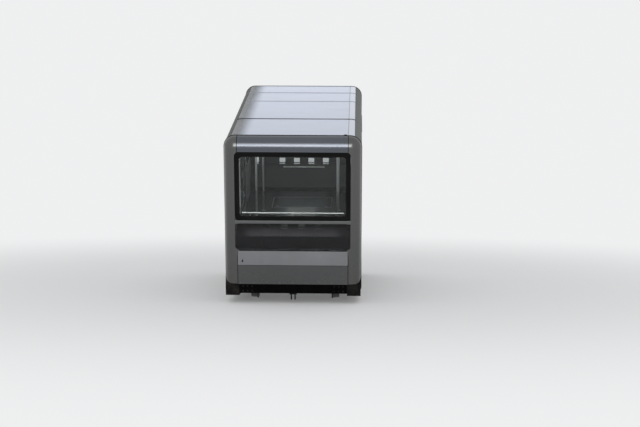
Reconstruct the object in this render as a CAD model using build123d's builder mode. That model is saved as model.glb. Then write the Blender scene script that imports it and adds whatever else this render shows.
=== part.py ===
from build123d import *

import os
from math import atan, cos, sin

# Driving dimensions in millimetres. X runs across the track, Y along it with the uphill end at -Y,
# Z is plumb. The origin is midway between the rails at the level of their tops, under mid-car.
track_slope = 0.21
body_length = 5400.0
body_width = 2430.0
body_height = 2678.0
skirt_clearance = 367.0
gauge_inset = 497.5
wall = 60.0
shoulder_radius = 200.0
end_radius = 190.0
foot_radius = 85.0
post_width = 235.0

# Body panels: the end mouldings, their seal and the seams between panels.
ring_depth = 195.0
seal_width = 15.0
seal_recess = 8.0
seam_width = 12.0
seam_depth = 12.0
panel_gap = 0.3
roof_seam_setbacks = (1458.0, 1741.0, 800.0)
roof_edge_inset = 120.0
roof_joint_width = 26.0
roof_joint_proud = 9.0
side_skirt_rise = 73.0

# End face, as heights over the skirt's lower edge.
crease_height = 357.0
lower_glass_bottom = 628.0
lower_glass_crease = 894.0
lower_glass_top = 1120.0
lower_glass_chamfer = 55.0
window_bottom = 1177.0
window_head = 263.0
window_inset = 191.5
window_radius = 70.0
border_width = 78.0
pane_radius = 62.0
pane_thickness = 10.0
surround_depth = 55.0
pane_recess = 1.5
glass_crease_out = 25.0
glass_foot_in = 10.0
glass_thickness = 22.0
skirt_top = 618.0
skirt_lip_height = 40.0
skirt_lip_in = 34.0
skirt_crease_out = 35.0
skirt_foot_out = 22.0
skirt_thickness = 40.0
skirt_seam = 6.0
end_joint = 3.0
strip_proud = 10.0
strip_round = 6.0

# Floor, ceiling and what stands between them.
floor_height = 385.0
floor_thickness = 72.0
ceiling_thickness = 20.0
light_width = 120.0
light_setback = 550.0
light_corner = 40.0
light_offset = 560.0
light_thickness = 14.0
rail_radius = 17.0
handrail_height = 1290.0
handrail_setback = 110.0
handrail_inset = 118.5
bracket_radius = 8.5
bracket_inset = 146.0
pole_setback = 390.0
pole_flange_radius = 41.0
pole_flange_height = 9.0

# Side windows and doors.
doorway_width = 1500.0
doorway_head_drop = 335.0
side_window_gap = 210.0
side_window_setback = 230.0
side_window_radius = 70.0
side_pane_thickness = 10.0
door_thickness = 36.0
door_wall_gap = 8.0
door_overlap = 50.0
door_meeting_gap = 6.0
door_floor_gap = 6.0
door_stile = 75.0
door_pane_bottom = 330.0
door_pane_radius = 60.0
door_pane_thickness = 8.0
track_overrun = 20.0
track_rise = 18.0
track_height = 80.0
track_width = 54.0
track_lip = 5.0
track_slot = 16.0
track_cover = 6.0
roller_radius = 24.0
roller_width = 30.0
roller_gap = 0.3
hanger_thickness = 6.0
hanger_width = 70.0
hanger_offset = 250.0

# Wedge chassis.
post_clearance = 10.0
frame_web = 90.0
frame_proud = 14.0
frame_clearance = 145.0
frame_setback = 40.0
sole_drop = 141.0
bottom_chord = 150.0
frame_post = 110.0
bay_count = 5
uphill_bay_setback = 775.0
downhill_bay_setback = 370.0
bay_radius = 45.0
beam_width = 120.0
beam_height = 240.0
beam_count = 5
beam_setback = 800.0
lower_beam_count = 3
lower_beam_size = 110.0
headstock_depth = 90.0
headstock_drop = 190.0
brace_width = 75.0
brace_depth = 60.0
case_width = 1300.0
case_height = 520.0
case_gap = 40.0
case_radius = 25.0

# Wheelsets and what hangs close to the track.
axle_setback = 950.0
wheel_radius = 250.0
flange_height = 30.0
flange_width = 32.0
tread_width = 105.0
rim_thickness = 42.0
web_thickness = 26.0
hub_radius = 82.0
hub_width = 170.0
flange_play = 5.5
axle_radius = 62.0
journal_radius = 45.0
journal_clearance = 0.05
journal_end_gap = 2.0
axlebox_width = 84.0
axlebox_size = 210.0
axlebox_corner = 35.0
axlebox_end = 14.0
spring_reach = 160.0
spring_radius = 36.0
spring_disc_radius = 42.0
spring_disc = 6.0
spring_discs = 4
spring_seat = 14.0
spring_seat_width = 96.0
spring_head = 44.0
wheel_hole_radius = 26.0
wheel_hole_circle = 150.0
wheel_holes = 6
brake_length = 620.0
brake_width = 70.0
brake_height = 90.0
brake_air = 12.0
brake_corner = 18.0
pillar_width = 50.0
clevis_bore = 20.0
clevis_ear = 22.0
clevis_gap = 44.0
clevis_radius = 52.0
clevis_rise = 115.0

half_length = body_length / 2
half_width = body_width / 2
track_gauge = body_width - 2 * gauge_inset
tilt = atan(track_slope)
skirt_z = track_slope * half_length + skirt_clearance
roof_z = skirt_z + body_height
floor_z = skirt_z + floor_height
ceiling_z = roof_z - wall - ceiling_thickness
ring_back = half_length - ring_depth
side_end = ring_back - seal_width
side_foot = skirt_z + side_skirt_rise
inner_x = half_width - wall
seam_offset = half_width - post_width
frame_inner = seam_offset - post_clearance
frame_width = half_width - frame_inner
window_top = body_height - window_head
window_width = body_width - 2 * window_inset
doorway_top = body_height - doorway_head_drop
deep = 3 * body_height

os.makedirs("parts", exist_ok=True)


def keep(builder, label):
    """Label a finished piece and write it to its own file."""
    builder.part.label = label
    export_step(builder.part, f"parts/{label}.step")


def rail_z(y):
    """Height of the rail tops at a place along the track."""
    return -track_slope * y


def slab(x_range, y_range, z_range):
    """Loose block between three pairs of limits, for cutting and trimming."""
    sizes = [high - low for low, high in (x_range, y_range, z_range)]
    middle = [(high + low) / 2 for low, high in (x_range, y_range, z_range)]
    return Pos(*middle) * Box(*sizes, mode=Mode.PRIVATE)


def body_form(inset, foot):
    """Closed outer form of the body, drawn in by inset, standing on the height foot."""
    with BuildPart() as form:
        with BuildSketch(Plane.XZ) as section:
            with Locations((0, (foot + roof_z - inset) / 2)):
                Rectangle(body_width - 2 * inset, roof_z - inset - foot)
            fillet(section.vertices().group_by(Axis.Y)[-1], shoulder_radius - inset)
        extrude(amount=half_length - inset, both=True)
        end_edges = form.edges().filter_by(lambda e: abs(abs(e.center().Y) - half_length + inset) < 1)
        fillet(end_edges.filter_by(lambda e: e.center().Z > foot + 1), end_radius - inset)
    return form.part


with BuildPart() as body_shell:
    add(body_form(0, skirt_z))
    add(body_form(wall, skirt_z - wall), mode=Mode.SUBTRACT)

with BuildPart() as seam_skin:
    add(body_form(0, skirt_z))
    add(body_form(seam_depth, skirt_z - wall), mode=Mode.SUBTRACT)

with BuildPart() as body_hollow:
    add(body_form(wall + panel_gap, skirt_z - wall))

# Seams are shallow grooves over a tight joint. Two run the car's length, the rest cross the roof.
uphill_seam, middle_seam, downhill_seam = roof_seam_setbacks
seam_lines = [-side_end + uphill_seam, side_end - middle_seam, side_end - downhill_seam]
roof_low = roof_z - shoulder_radius
everywhere = (-deep, deep)
groove_slabs = []
for side in (-1, 1):
    low, high = sorted((side * (seam_offset - seam_width / 2), side * (seam_offset + seam_width / 2)))
    groove_slabs.append(slab((low, high), everywhere, (skirt_z, roof_z)))
for y in seam_lines:
    groove_slabs.append(slab(everywhere, (y - seam_width / 2, y + seam_width / 2), (roof_low, roof_z)))

with BuildPart() as grooves:
    add(seam_skin.part)
    add(Part() + groove_slabs, mode=Mode.INTERSECT)

# The opening in each end moulding holds the window, the strip and the lower glass.
opening_width = window_width + 2 * end_joint
with BuildPart() as end_opening:
    with BuildSketch(Plane.XZ.offset(half_length - surround_depth - wall)) as outline:
        foot = skirt_z + lower_glass_bottom - end_joint
        head = skirt_z + window_top + end_joint
        with Locations((0, (foot + head) / 2)):
            Rectangle(opening_width, head - foot)
        fillet(outline.vertices().group_by(Axis.Y)[-1], window_radius + end_joint)
        chamfer(outline.vertices().group_by(Axis.Y)[0], lower_glass_chamfer)
    extrude(amount=surround_depth + 3 * wall)

post_limits = (seam_offset + panel_gap / 2, half_width)
with BuildPart() as corner_posts_uphill:
    with BuildSketch(Plane.XZ) as section:
        with Locations((0, (skirt_z + roof_z) / 2)):
            Rectangle(body_width, body_height)
        fillet(section.vertices().group_by(Axis.Y)[0], foot_radius)
    extrude(amount=half_length, both=True)
    add(body_shell.part, mode=Mode.INTERSECT)
    posts = [
        slab((low, high), (-half_length, -ring_back), (skirt_z, roof_z))
        for low, high in (post_limits, (-post_limits[1], -post_limits[0]))
    ]
    add(Part() + posts, mode=Mode.INTERSECT)
    add(end_opening.part, mode=Mode.SUBTRACT)
    add(grooves.part, mode=Mode.SUBTRACT)

fairing_half = seam_offset - panel_gap / 2
with BuildPart() as roof_fairing_uphill:
    add(body_shell.part)
    fairing_foot = skirt_z + window_top - end_joint
    add(
        slab((-fairing_half, fairing_half), (-half_length, -ring_back), (fairing_foot, roof_z)),
        mode=Mode.INTERSECT,
    )
    add(end_opening.part, mode=Mode.SUBTRACT)
    add(grooves.part, mode=Mode.SUBTRACT)

# The window's black border and its pane, flush with the face.
window_middle = skirt_z + (window_bottom + window_top) / 2
window_height = window_top - window_bottom
pane_inset = border_width + panel_gap
with BuildPart() as window_surround_uphill:
    with BuildSketch(Plane.XZ.offset(half_length - surround_depth)):
        with Locations((0, window_middle)):
            RectangleRounded(window_width, window_height, window_radius)
            RectangleRounded(
                window_width - 2 * border_width,
                window_height - 2 * border_width,
                pane_radius,
                mode=Mode.SUBTRACT,
            )
    extrude(amount=surround_depth)

with BuildPart() as windscreen_uphill:
    with BuildSketch(Plane.XZ.offset(half_length - pane_recess - pane_thickness)):
        with Locations((0, window_middle)):
            RectangleRounded(
                window_width - 2 * pane_inset, window_height - 2 * pane_inset, pane_radius
            )
    extrude(amount=pane_thickness)

# The strip closes the height between window and lower glass and runs to the moulding's edges.
with BuildPart() as end_strip_uphill:
    with BuildSketch(Plane.YZ) as section:
        low = skirt_z + lower_glass_top + panel_gap
        high = skirt_z + window_bottom - panel_gap
        depth = strip_proud + surround_depth
        with Locations((-half_length - strip_proud + depth / 2, (low + high) / 2)):
            Rectangle(depth, high - low)
        fillet(section.vertices().group_by(Axis.X)[0], strip_round)
    extrude(amount=opening_width / 2 - panel_gap, both=True)

# Lower glass and skirts are folded sheets, drawn as (place along Y, height over the skirt's edge).
glass_points = [
    (-half_length, lower_glass_top),
    (-half_length - glass_crease_out, lower_glass_crease),
    (-half_length + glass_foot_in, lower_glass_bottom),
    (-half_length + glass_foot_in + glass_thickness, lower_glass_bottom),
    (-half_length - glass_crease_out + glass_thickness, lower_glass_crease),
    (-half_length + glass_thickness, lower_glass_top),
]
lip_in = -half_length + skirt_lip_in
lip_back = lip_in + skirt_thickness / 2
upper_points = [
    (-half_length + glass_foot_in, skirt_top),
    (-half_length - skirt_crease_out, crease_height + skirt_seam / 2),
    (-half_length - skirt_crease_out + skirt_thickness, crease_height + skirt_seam / 2),
    (lip_back, skirt_top - skirt_lip_height),
    (lip_back, skirt_top + skirt_lip_height),
    (lip_in, skirt_top + skirt_lip_height),
    (lip_in, skirt_top),
]
lower_points = [
    (-half_length - skirt_crease_out, crease_height - skirt_seam / 2),
    (-half_length - skirt_foot_out, 0),
    (-half_length - skirt_foot_out + skirt_thickness, 0),
    (-half_length - skirt_crease_out + skirt_thickness, crease_height - skirt_seam / 2),
]


def raised(points):
    """The points with their heights counted from the skirt's lower edge."""
    return [(y, skirt_z + height) for y, height in points]


with BuildPart() as lower_glass_uphill:
    with BuildSketch(Plane.YZ):
        Polygon(*raised(glass_points), align=None)
    extrude(amount=window_width / 2, both=True)
    with BuildSketch(Plane.XZ.offset(half_length - wall)) as outline:
        with Locations((0, skirt_z + (lower_glass_bottom + lower_glass_top) / 2)):
            Rectangle(window_width, lower_glass_top - lower_glass_bottom)
        chamfer(outline.vertices().group_by(Axis.Y)[0], lower_glass_chamfer)
    extrude(amount=2 * wall, mode=Mode.INTERSECT)

with BuildPart() as skirt_upper_uphill:
    with BuildSketch(Plane.YZ):
        Polygon(*raised(upper_points), align=None)
    extrude(amount=fairing_half, both=True)
    add(grooves.part, mode=Mode.SUBTRACT)

with BuildPart() as skirt_lower_uphill:
    with BuildSketch(Plane.YZ):
        Polygon(*raised(lower_points), align=None)
    extrude(amount=fairing_half, both=True)
    add(grooves.part, mode=Mode.SUBTRACT)

# Every end piece is made at the uphill end and mirrored to the downhill one.
end_pieces = {
    "corner_posts": corner_posts_uphill,
    "roof_fairing": roof_fairing_uphill,
    "window_surround": window_surround_uphill,
    "windscreen": windscreen_uphill,
    "end_strip": end_strip_uphill,
    "lower_glass": lower_glass_uphill,
    "skirt_upper": skirt_upper_uphill,
    "skirt_lower": skirt_lower_uphill,
}
for name, uphill_piece in end_pieces.items():
    with BuildPart() as downhill_piece:
        mirror(uphill_piece.part, about=Plane.XZ)
    keep(uphill_piece, f"{name}_uphill")
    keep(downhill_piece, f"{name}_downhill")

with BuildPart() as body_seals:
    add(body_form(seal_recess, side_foot))
    add(body_form(wall, side_foot - wall), mode=Mode.SUBTRACT)
    hoops = [
        slab((-half_width, half_width), limits, (side_foot, roof_z))
        for limits in ((-ring_back, -side_end), (side_end, ring_back))
    ]
    add(Part() + hoops, mode=Mode.INTERSECT)

# Joint covers stand a little proud of the roof, over its crosswise seams.
roof_edge = half_width - roof_edge_inset
joint_half = roof_joint_width / 2
with BuildPart() as roof_joints:
    add(body_form(-roof_joint_proud, skirt_z))
    add(body_form(-panel_gap, skirt_z - wall), mode=Mode.SUBTRACT)
    covers = [
        slab((-roof_edge, roof_edge), (y - joint_half, y + joint_half), (roof_low, 2 * roof_z))
        for y in seam_lines
    ]
    add(Part() + covers, mode=Mode.INTERSECT)
with body_seals:
    add(roof_joints.part)
keep(body_seals, "body_seals")

with BuildPart() as roof_panels:
    add(body_shell.part)
    add(
        slab((-fairing_half, fairing_half), (-side_end, side_end), (roof_low, roof_z)),
        mode=Mode.INTERSECT,
    )
    add(grooves.part, mode=Mode.SUBTRACT)
    for y in seam_lines:
        with Locations((0, y, roof_z)):
            Box(body_width, panel_gap, 2 * shoulder_radius, mode=Mode.SUBTRACT)
keep(roof_panels, "roof_panels")

# Side wall with its two windows and its doorway, made on the right and mirrored to the left.
# A groove along its shoulder marks where the roof's cladding ends.
with BuildPart() as edge_groove:
    add(seam_skin.part)
    edge_limits = (roof_edge - seam_width / 4, roof_edge + seam_width / 4)
    add(slab(edge_limits, everywhere, (roof_low, roof_z)), mode=Mode.INTERSECT)

side_window_inner = doorway_width / 2 + side_window_gap
side_window_outer = side_end - side_window_setback
side_window_middle = (side_window_inner + side_window_outer) / 2
side_window_length = side_window_outer - side_window_inner
window_places = [(-side_window_middle, window_middle), (side_window_middle, window_middle)]
doorway_head = skirt_z + doorway_top
with BuildPart() as side_wall_right:
    add(body_shell.part)
    add(
        slab(
            (post_limits[0], half_width),
            (-side_end, side_end),
            (side_foot + panel_gap, roof_z),
        ),
        mode=Mode.INTERSECT,
    )
    add(grooves.part, mode=Mode.SUBTRACT)
    add(edge_groove.part, mode=Mode.SUBTRACT)
    with BuildSketch(Plane.YZ.offset(inner_x - wall)) as cut_outs:
        with Locations(*window_places):
            RectangleRounded(side_window_length, window_height, side_window_radius)
        with Locations((0, (floor_z + doorway_head) / 2)):
            Rectangle(doorway_width, doorway_head - floor_z)
    extrude(amount=3 * wall, mode=Mode.SUBTRACT)

with BuildPart() as side_panes_right:
    with BuildSketch(Plane.YZ.offset(half_width - pane_recess - side_pane_thickness)):
        with Locations(*window_places):
            RectangleRounded(
                side_window_length - 2 * panel_gap,
                window_height - 2 * panel_gap,
                side_window_radius - panel_gap,
            )
    extrude(amount=side_pane_thickness)

# Floor with a tongue at each end that carries the skirts, ceiling and its two long lamps.
floor_low = floor_z - floor_thickness
floor_share = (floor_height - floor_thickness) / (crease_height - skirt_seam / 2)
skirt_out = skirt_foot_out + (skirt_crease_out - skirt_foot_out) * floor_share
tongue_end = half_length + skirt_out - skirt_thickness - panel_gap
with BuildPart() as floor:
    add(body_hollow.part)
    add(slab((-half_width, half_width), everywhere, (floor_low, floor_z)), mode=Mode.INTERSECT)
    tongue_half = fairing_half - seam_width
    tongue_top = skirt_z + crease_height - skirt_seam / 2
    add(slab((-tongue_half, tongue_half), (-tongue_end, tongue_end), (floor_low, tongue_top)))
keep(floor, "floor")

with BuildPart() as ceiling:
    add(body_hollow.part)
    add(slab((-half_width, half_width), everywhere, (ceiling_z, roof_z)), mode=Mode.INTERSECT)
keep(ceiling, "ceiling")

with BuildPart() as ceiling_lights:
    for side in (-1, 1):
        with BuildSketch(Plane.XY.offset(ceiling_z)):
            with Locations((side * light_offset, 0)):
                RectangleRounded(light_width, body_length - 2 * light_setback, light_corner)
        extrude(amount=-light_thickness)
keep(ceiling_lights, "ceiling_lights")

# Handrails along both sills and four grab poles beside the doorways.
rail_y = half_length - handrail_setback
rail_height = skirt_z + handrail_height
handrail_length = window_width - 2 * handrail_inset
bracket_foot = skirt_z + window_bottom + border_width / 2
bracket_offset = handrail_length / 2 - bracket_inset
with BuildPart() as handrails:
    for side in (-1, 1):
        with Locations(Location((0, side * rail_y, rail_height), (0, 90, 0))):
            Cylinder(rail_radius, handrail_length)
        wall_face = side * (half_length - surround_depth)
        for x in (-bracket_offset, 0, bracket_offset):
            with Locations((x, side * rail_y, (rail_height + bracket_foot) / 2)):
                Cylinder(bracket_radius, rail_height - bracket_foot)
            with Locations((x, side * rail_y, bracket_foot)):
                Sphere(bracket_radius)
            reach = abs(wall_face) - rail_y
            with Locations(Location((x, side * (rail_y + reach / 2), bracket_foot), (90, 0, 0))):
                Cylinder(bracket_radius, reach)
    with GridLocations(2 * (inner_x - pole_setback), 2 * side_window_inner, 2, 2):
        with Locations((0, 0, (floor_z + ceiling_z) / 2)):
            Cylinder(rail_radius, ceiling_z - floor_z)
        with Locations((0, 0, floor_z + pole_flange_height / 2)):
            Cylinder(pole_flange_radius, pole_flange_height)
        with Locations((0, 0, ceiling_z - pole_flange_height / 2)):
            Cylinder(pole_flange_radius, pole_flange_height)
keep(handrails, "handrails")

# Door tracks over the doorways: a channel whose lips carry the leaves' rollers.
track_foot = doorway_head + track_rise
track_half = doorway_width + track_overrun
track_x = inner_x - track_width / 2
cavity_width = track_width - 2 * track_lip
with BuildPart() as door_tracks:
    for side in (-1, 1):
        with BuildSketch(Plane.XZ):
            with Locations((side * track_x, track_foot + track_height / 2)):
                Rectangle(track_width, track_height)
                Rectangle(cavity_width, track_height - 2 * track_lip, mode=Mode.SUBTRACT)
            with Locations((side * track_x, track_foot + track_lip / 2)):
                Rectangle(track_slot, track_lip, mode=Mode.SUBTRACT)
        extrude(amount=track_half, both=True)
    add(body_hollow.part, mode=Mode.INTERSECT)
keep(door_tracks, "door_tracks")

# Door leaves hang from two rollers each. The right uphill leaf is made and mirrored to the rest.
leaf_outer = inner_x - door_wall_gap
leaf_inner = leaf_outer - door_thickness
leaf_length = doorway_width / 2 + door_overlap - door_meeting_gap / 2
leaf_middle = -(door_meeting_gap / 2 + leaf_length / 2)
leaf_foot = floor_z + door_floor_gap
leaf_top = track_foot - track_cover
pane_low = leaf_foot + door_pane_bottom
pane_high = leaf_top - door_stile
pane_length = leaf_length - 2 * door_stile
roller_z = track_foot + track_lip + roller_gap + roller_radius
with BuildPart() as door_leaf:
    with BuildSketch(Plane.YZ.offset(leaf_inner)):
        with Locations((leaf_middle, (leaf_foot + leaf_top) / 2)):
            Rectangle(leaf_length, leaf_top - leaf_foot)
        with Locations((leaf_middle, (pane_low + pane_high) / 2)):
            RectangleRounded(
                pane_length, pane_high - pane_low, door_pane_radius, mode=Mode.SUBTRACT
            )
    extrude(amount=door_thickness)
    for y in (leaf_middle - hanger_offset, leaf_middle + hanger_offset):
        with Locations((track_x, y, (leaf_top + roller_z) / 2)):
            Box(hanger_thickness, hanger_width, roller_z - leaf_top)
        with Locations(Location((track_x, y, roller_z), (0, 90, 0))):
            Cylinder(roller_radius, roller_width)

with BuildPart() as door_pane:
    pane_inner = (leaf_inner + leaf_outer - door_pane_thickness) / 2
    with BuildSketch(Plane.YZ.offset(pane_inner)):
        with Locations((leaf_middle, (pane_low + pane_high) / 2)):
            RectangleRounded(
                pane_length - 2 * panel_gap,
                pane_high - pane_low - 2 * panel_gap,
                door_pane_radius - panel_gap,
            )
    extrude(amount=door_pane_thickness)

# Wedge side frame: a level sole bar under the body, posts, and a bottom chord along the track.
chord_top = skirt_z - sole_drop
tip_y = half_length - frame_setback
tip_top = skirt_z - end_joint


def chord_foot(y):
    """Height of the side frame's lower edge at a place along the track."""
    return rail_z(y) + frame_clearance


def bay(low_y, high_y):
    """Corners of a cut-out between the chords, from low_y to high_y."""
    return [
        (low_y, chord_foot(low_y) + bottom_chord),
        (high_y, chord_foot(high_y) + bottom_chord),
        (high_y, chord_top),
        (low_y, chord_top),
    ]


first_bay_low = -side_end + uphill_bay_setback
last_bay_high = side_end - downhill_bay_setback
bay_step = (last_bay_high - first_bay_low + frame_post) / bay_count
bay_starts = [first_bay_low + number * bay_step for number in range(bay_count)]
with BuildPart() as side_frame_right:
    with BuildSketch(Plane.YZ.offset(frame_inner)):
        Polygon(
            (-tip_y, chord_foot(-tip_y)),
            (tip_y, chord_foot(tip_y)),
            (tip_y, tip_top),
            (-tip_y, tip_top),
            align=None,
        )
    extrude(amount=frame_width)
    with BuildSketch(Plane.YZ.offset(frame_inner)):
        with Locations((0, (chord_top + side_foot) / 2)):
            Rectangle(2 * side_end, side_foot - chord_top)
    extrude(amount=frame_width + frame_proud)
    with BuildSketch(Plane.YZ.offset(frame_inner)) as pocket:
        Polygon(*bay(first_bay_low, last_bay_high), align=None)
        fillet(pocket.vertices(), bay_radius)
    extrude(amount=frame_width - frame_web, mode=Mode.SUBTRACT)
    for low_y in bay_starts:
        with BuildSketch(Plane.YZ.offset(frame_inner)) as cut_out:
            Polygon(*bay(low_y, low_y + bay_step - frame_post), align=None)
            fillet(cut_out.vertices(), bay_radius)
        extrude(amount=frame_width + 2 * frame_proud, mode=Mode.SUBTRACT)

for name, right_piece in {
    "side_wall": side_wall_right,
    "side_panes": side_panes_right,
    "side_frame": side_frame_right,
}.items():
    with BuildPart() as left_piece:
        mirror(right_piece.part, about=Plane.YZ)
    keep(right_piece, f"{name}_right")
    keep(left_piece, f"{name}_left")

for name, leaf_piece in {"door_leaf": door_leaf, "door_pane": door_pane}.items():
    with BuildPart() as right_downhill:
        mirror(leaf_piece.part, about=Plane.XZ)
    with BuildPart() as left_uphill:
        mirror(leaf_piece.part, about=Plane.YZ)
    with BuildPart() as left_downhill:
        mirror(left_uphill.part, about=Plane.XZ)
    keep(leaf_piece, f"{name}_right_uphill")
    keep(right_downhill, f"{name}_right_downhill")
    keep(left_uphill, f"{name}_left_uphill")
    keep(left_downhill, f"{name}_left_downhill")

# Cross members under the floor and, at the frames' posts, between the bottom chords.
outer_beam = half_length - beam_setback
beam_step = 2 * outer_beam / (beam_count - 1)
beam_places = [-outer_beam + number * beam_step for number in range(beam_count)]
lower_beam_places = [low_y - frame_post / 2 for low_y in bay_starts[-lower_beam_count:]]
with BuildPart() as cross_members:
    for y in beam_places:
        with Locations((0, y, floor_low - beam_height / 2)):
            Box(2 * frame_inner, beam_width, beam_height)
    for y in lower_beam_places:
        with Locations((0, y, chord_foot(y) + bottom_chord / 2)):
            Box(2 * frame_inner, lower_beam_size, lower_beam_size)
keep(cross_members, "cross_members")

with BuildPart() as headstocks:
    low = skirt_z - headstock_drop
    for side in (-1, 1):
        with Locations((0, side * (tip_y - headstock_depth / 2), (low + floor_low) / 2)):
            Box(2 * frame_inner, headstock_depth, floor_low - low)
    end_y = tip_y - headstock_depth / 2
    brace_foot = chord_foot(end_y) + (bottom_chord - lower_beam_size) / 2
    with Locations((0, end_y, brace_foot + lower_beam_size / 2)):
        Box(2 * frame_inner, headstock_depth, lower_beam_size)
    with BuildSketch(Plane.XZ.offset(-end_y - brace_depth / 2)) as braces:
        Polygon(
            (-frame_inner, brace_foot),
            (brace_width - frame_inner, brace_foot),
            (frame_inner, low),
            (frame_inner - brace_width, low),
            align=None,
        )
        mirror(about=Plane.YZ)
    extrude(amount=brace_depth)
keep(headstocks, "headstocks")

# Cases for batteries and the brake unit, hung from the floor between the cross members.
with BuildPart() as equipment_cases:
    for low_y, high_y in zip(beam_places[2:-1], beam_places[3:]):
        length = high_y - low_y - beam_width - 2 * case_gap
        with BuildSketch(Plane.XY.offset(floor_low)):
            with Locations((0, (low_y + high_y) / 2)):
                RectangleRounded(case_width, length, case_radius)
        extrude(amount=-case_height)
keep(equipment_cases, "equipment_cases")


def axle_centre(side):
    """Place of an axle over its contact point, as (y, z). Side is -1 uphill and 1 downhill."""
    contact = side * (half_length - axle_setback)
    return (contact + wheel_radius * sin(tilt), rail_z(contact) + wheel_radius * cos(tilt))


# One wheelset is an axle with both wheels, turned from a single profile of (x, radius).
wheel_in = track_gauge / 2 - flange_play - flange_width
tread_start = wheel_in + flange_width
wheel_out = tread_start + tread_width
hub_middle = (wheel_in + wheel_out) / 2
box_face = frame_inner - axlebox_width
journal_end = frame_inner - axlebox_end - journal_end_gap
rim_under = wheel_radius - rim_thickness
flange_top = wheel_radius + flange_height
tread_drop = tread_width / 20
profile = [
    (0, 0),
    (0, axle_radius),
    (hub_middle - hub_width / 2, axle_radius),
    (hub_middle - hub_width / 2, hub_radius),
    (hub_middle - web_thickness / 2, hub_radius),
    (hub_middle - web_thickness / 2, rim_under),
    (wheel_in, rim_under),
    (wheel_in, flange_top - flange_width / 4),
    (wheel_in + flange_width / 4, flange_top),
    (wheel_in + flange_width / 2, flange_top),
    (tread_start, wheel_radius),
    (wheel_out, wheel_radius - tread_drop),
    (wheel_out, rim_under),
    (hub_middle + web_thickness / 2, rim_under),
    (hub_middle + web_thickness / 2, hub_radius),
    (hub_middle + hub_width / 2, hub_radius),
    (hub_middle + hub_width / 2, axle_radius),
    (box_face - journal_end_gap, axle_radius),
    (box_face - journal_end_gap, journal_radius),
    (journal_end, journal_radius),
    (journal_end, 0),
]
for side, end_name in ((-1, "uphill"), (1, "downhill")):
    axle_y, axle_z = axle_centre(side)
    with BuildPart() as wheelset:
        with BuildSketch(Plane(origin=(0, axle_y, axle_z), x_dir=(1, 0, 0), z_dir=(0, -1, 0))):
            Polygon(*profile, align=None)
            mirror(about=Plane.YZ)
        revolve(axis=Axis((0, axle_y, axle_z), (1, 0, 0)))
        with BuildSketch(Plane(origin=(0, axle_y, axle_z), x_dir=(0, 1, 0), z_dir=(1, 0, 0))):
            with PolarLocations(wheel_hole_circle, wheel_holes):
                Circle(wheel_hole_radius)
        extrude(amount=wheel_out, both=True, mode=Mode.SUBTRACT)
    keep(wheelset, f"wheelset_{end_name}")

# Each axlebox has a wing that stands two layered rubber springs under seats on the frame.
wing_middle = (spring_seat - axlebox_size) / 2
spring_foot = wing_middle + spring_seat / 2
spring_step = (spring_head - spring_foot) / (spring_discs + 1)
with BuildPart() as axleboxes:
    for side in (-1, 1):
        axle_y, axle_z = axle_centre(side)
        for hand in (-1, 1):
            face = Plane(
                origin=(hand * frame_inner, axle_y, axle_z),
                x_dir=(0, -hand * cos(tilt), hand * sin(tilt)),
                z_dir=(-hand, 0, 0),
            )
            with BuildSketch(face):
                RectangleRounded(axlebox_size, axlebox_size, axlebox_corner)
                with Locations((0, wing_middle)):
                    Rectangle(2 * spring_reach + spring_seat_width, spring_seat)
                with Locations((-spring_reach, spring_head), (spring_reach, spring_head)):
                    Rectangle(spring_seat_width, spring_seat, align=(Align.CENTER, Align.MIN))
            extrude(amount=axlebox_width)
            middle = face.offset(axlebox_width / 2)
            for reach in (-spring_reach, spring_reach):
                with BuildSketch(middle):
                    with Locations((reach, (spring_foot + spring_head) / 2)):
                        Rectangle(spring_radius, spring_head - spring_foot, align=(Align.MIN, Align.CENTER))
                    for disc in range(1, spring_discs + 1):
                        with Locations((reach, spring_foot + disc * spring_step)):
                            Rectangle(spring_disc_radius, spring_disc, align=(Align.MIN, Align.CENTER))
                spring_line = Axis(middle.from_local_coords((reach, 0, 0)), middle.y_dir)
                revolve(axis=spring_line)
            with BuildSketch(face.offset(axlebox_end)):
                Circle(journal_radius + journal_clearance)
            extrude(amount=axlebox_width, mode=Mode.SUBTRACT)
keep(axleboxes, "axleboxes")

# Brake shoes over the railheads, each on a pillar under the middle lower beam.
brake_y = lower_beam_places[1]
rail_x = tread_start + tread_width / 2
beam_foot = chord_foot(brake_y) + (bottom_chord - lower_beam_size) / 2
shoe_middle = rail_z(brake_y) + (brake_air + brake_height / 2) / cos(tilt)
with BuildPart() as track_brakes:
    for side in (-1, 1):
        on_rail = Plane(
            origin=(side * rail_x, brake_y, shoe_middle),
            x_dir=(1, 0, 0),
            z_dir=(0, sin(tilt), cos(tilt)),
        )
        with BuildSketch(on_rail.offset(-brake_height / 2)):
            RectangleRounded(brake_width, brake_length, brake_corner)
        extrude(amount=brake_height)
        with Locations((side * rail_x, brake_y, (shoe_middle + beam_foot) / 2)):
            Box(pillar_width, lower_beam_size, beam_foot - shoe_middle)
keep(track_brakes, "track_brakes")

# Clevis for the haul rope's socket, under the uphill headstock.
clevis_y = -(tip_y - headstock_depth / 2)
clevis_z = rail_z(clevis_y) + clevis_rise
clevis_head = skirt_z - headstock_drop
with BuildPart() as rope_clevis:
    for low, amount in ((clevis_gap / 2, clevis_ear), (-clevis_gap / 2, -clevis_ear)):
        with BuildSketch(Plane.YZ.offset(low)):
            with Locations((clevis_y, clevis_z)):
                Circle(clevis_radius)
            with Locations((clevis_y, (clevis_z + clevis_head) / 2)):
                Rectangle(2 * clevis_radius, clevis_head - clevis_z)
            with Locations((clevis_y, clevis_z)):
                Circle(clevis_bore, mode=Mode.SUBTRACT)
        extrude(amount=amount)
    with Locations((0, clevis_y, clevis_head - clevis_ear / 2)):
        Box(clevis_gap + 4 * clevis_ear, headstock_depth, clevis_ear)
keep(rope_clevis, "rope_clevis")
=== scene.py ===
"""A funicular car: its finishes, small pieces and studio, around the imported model."""

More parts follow.
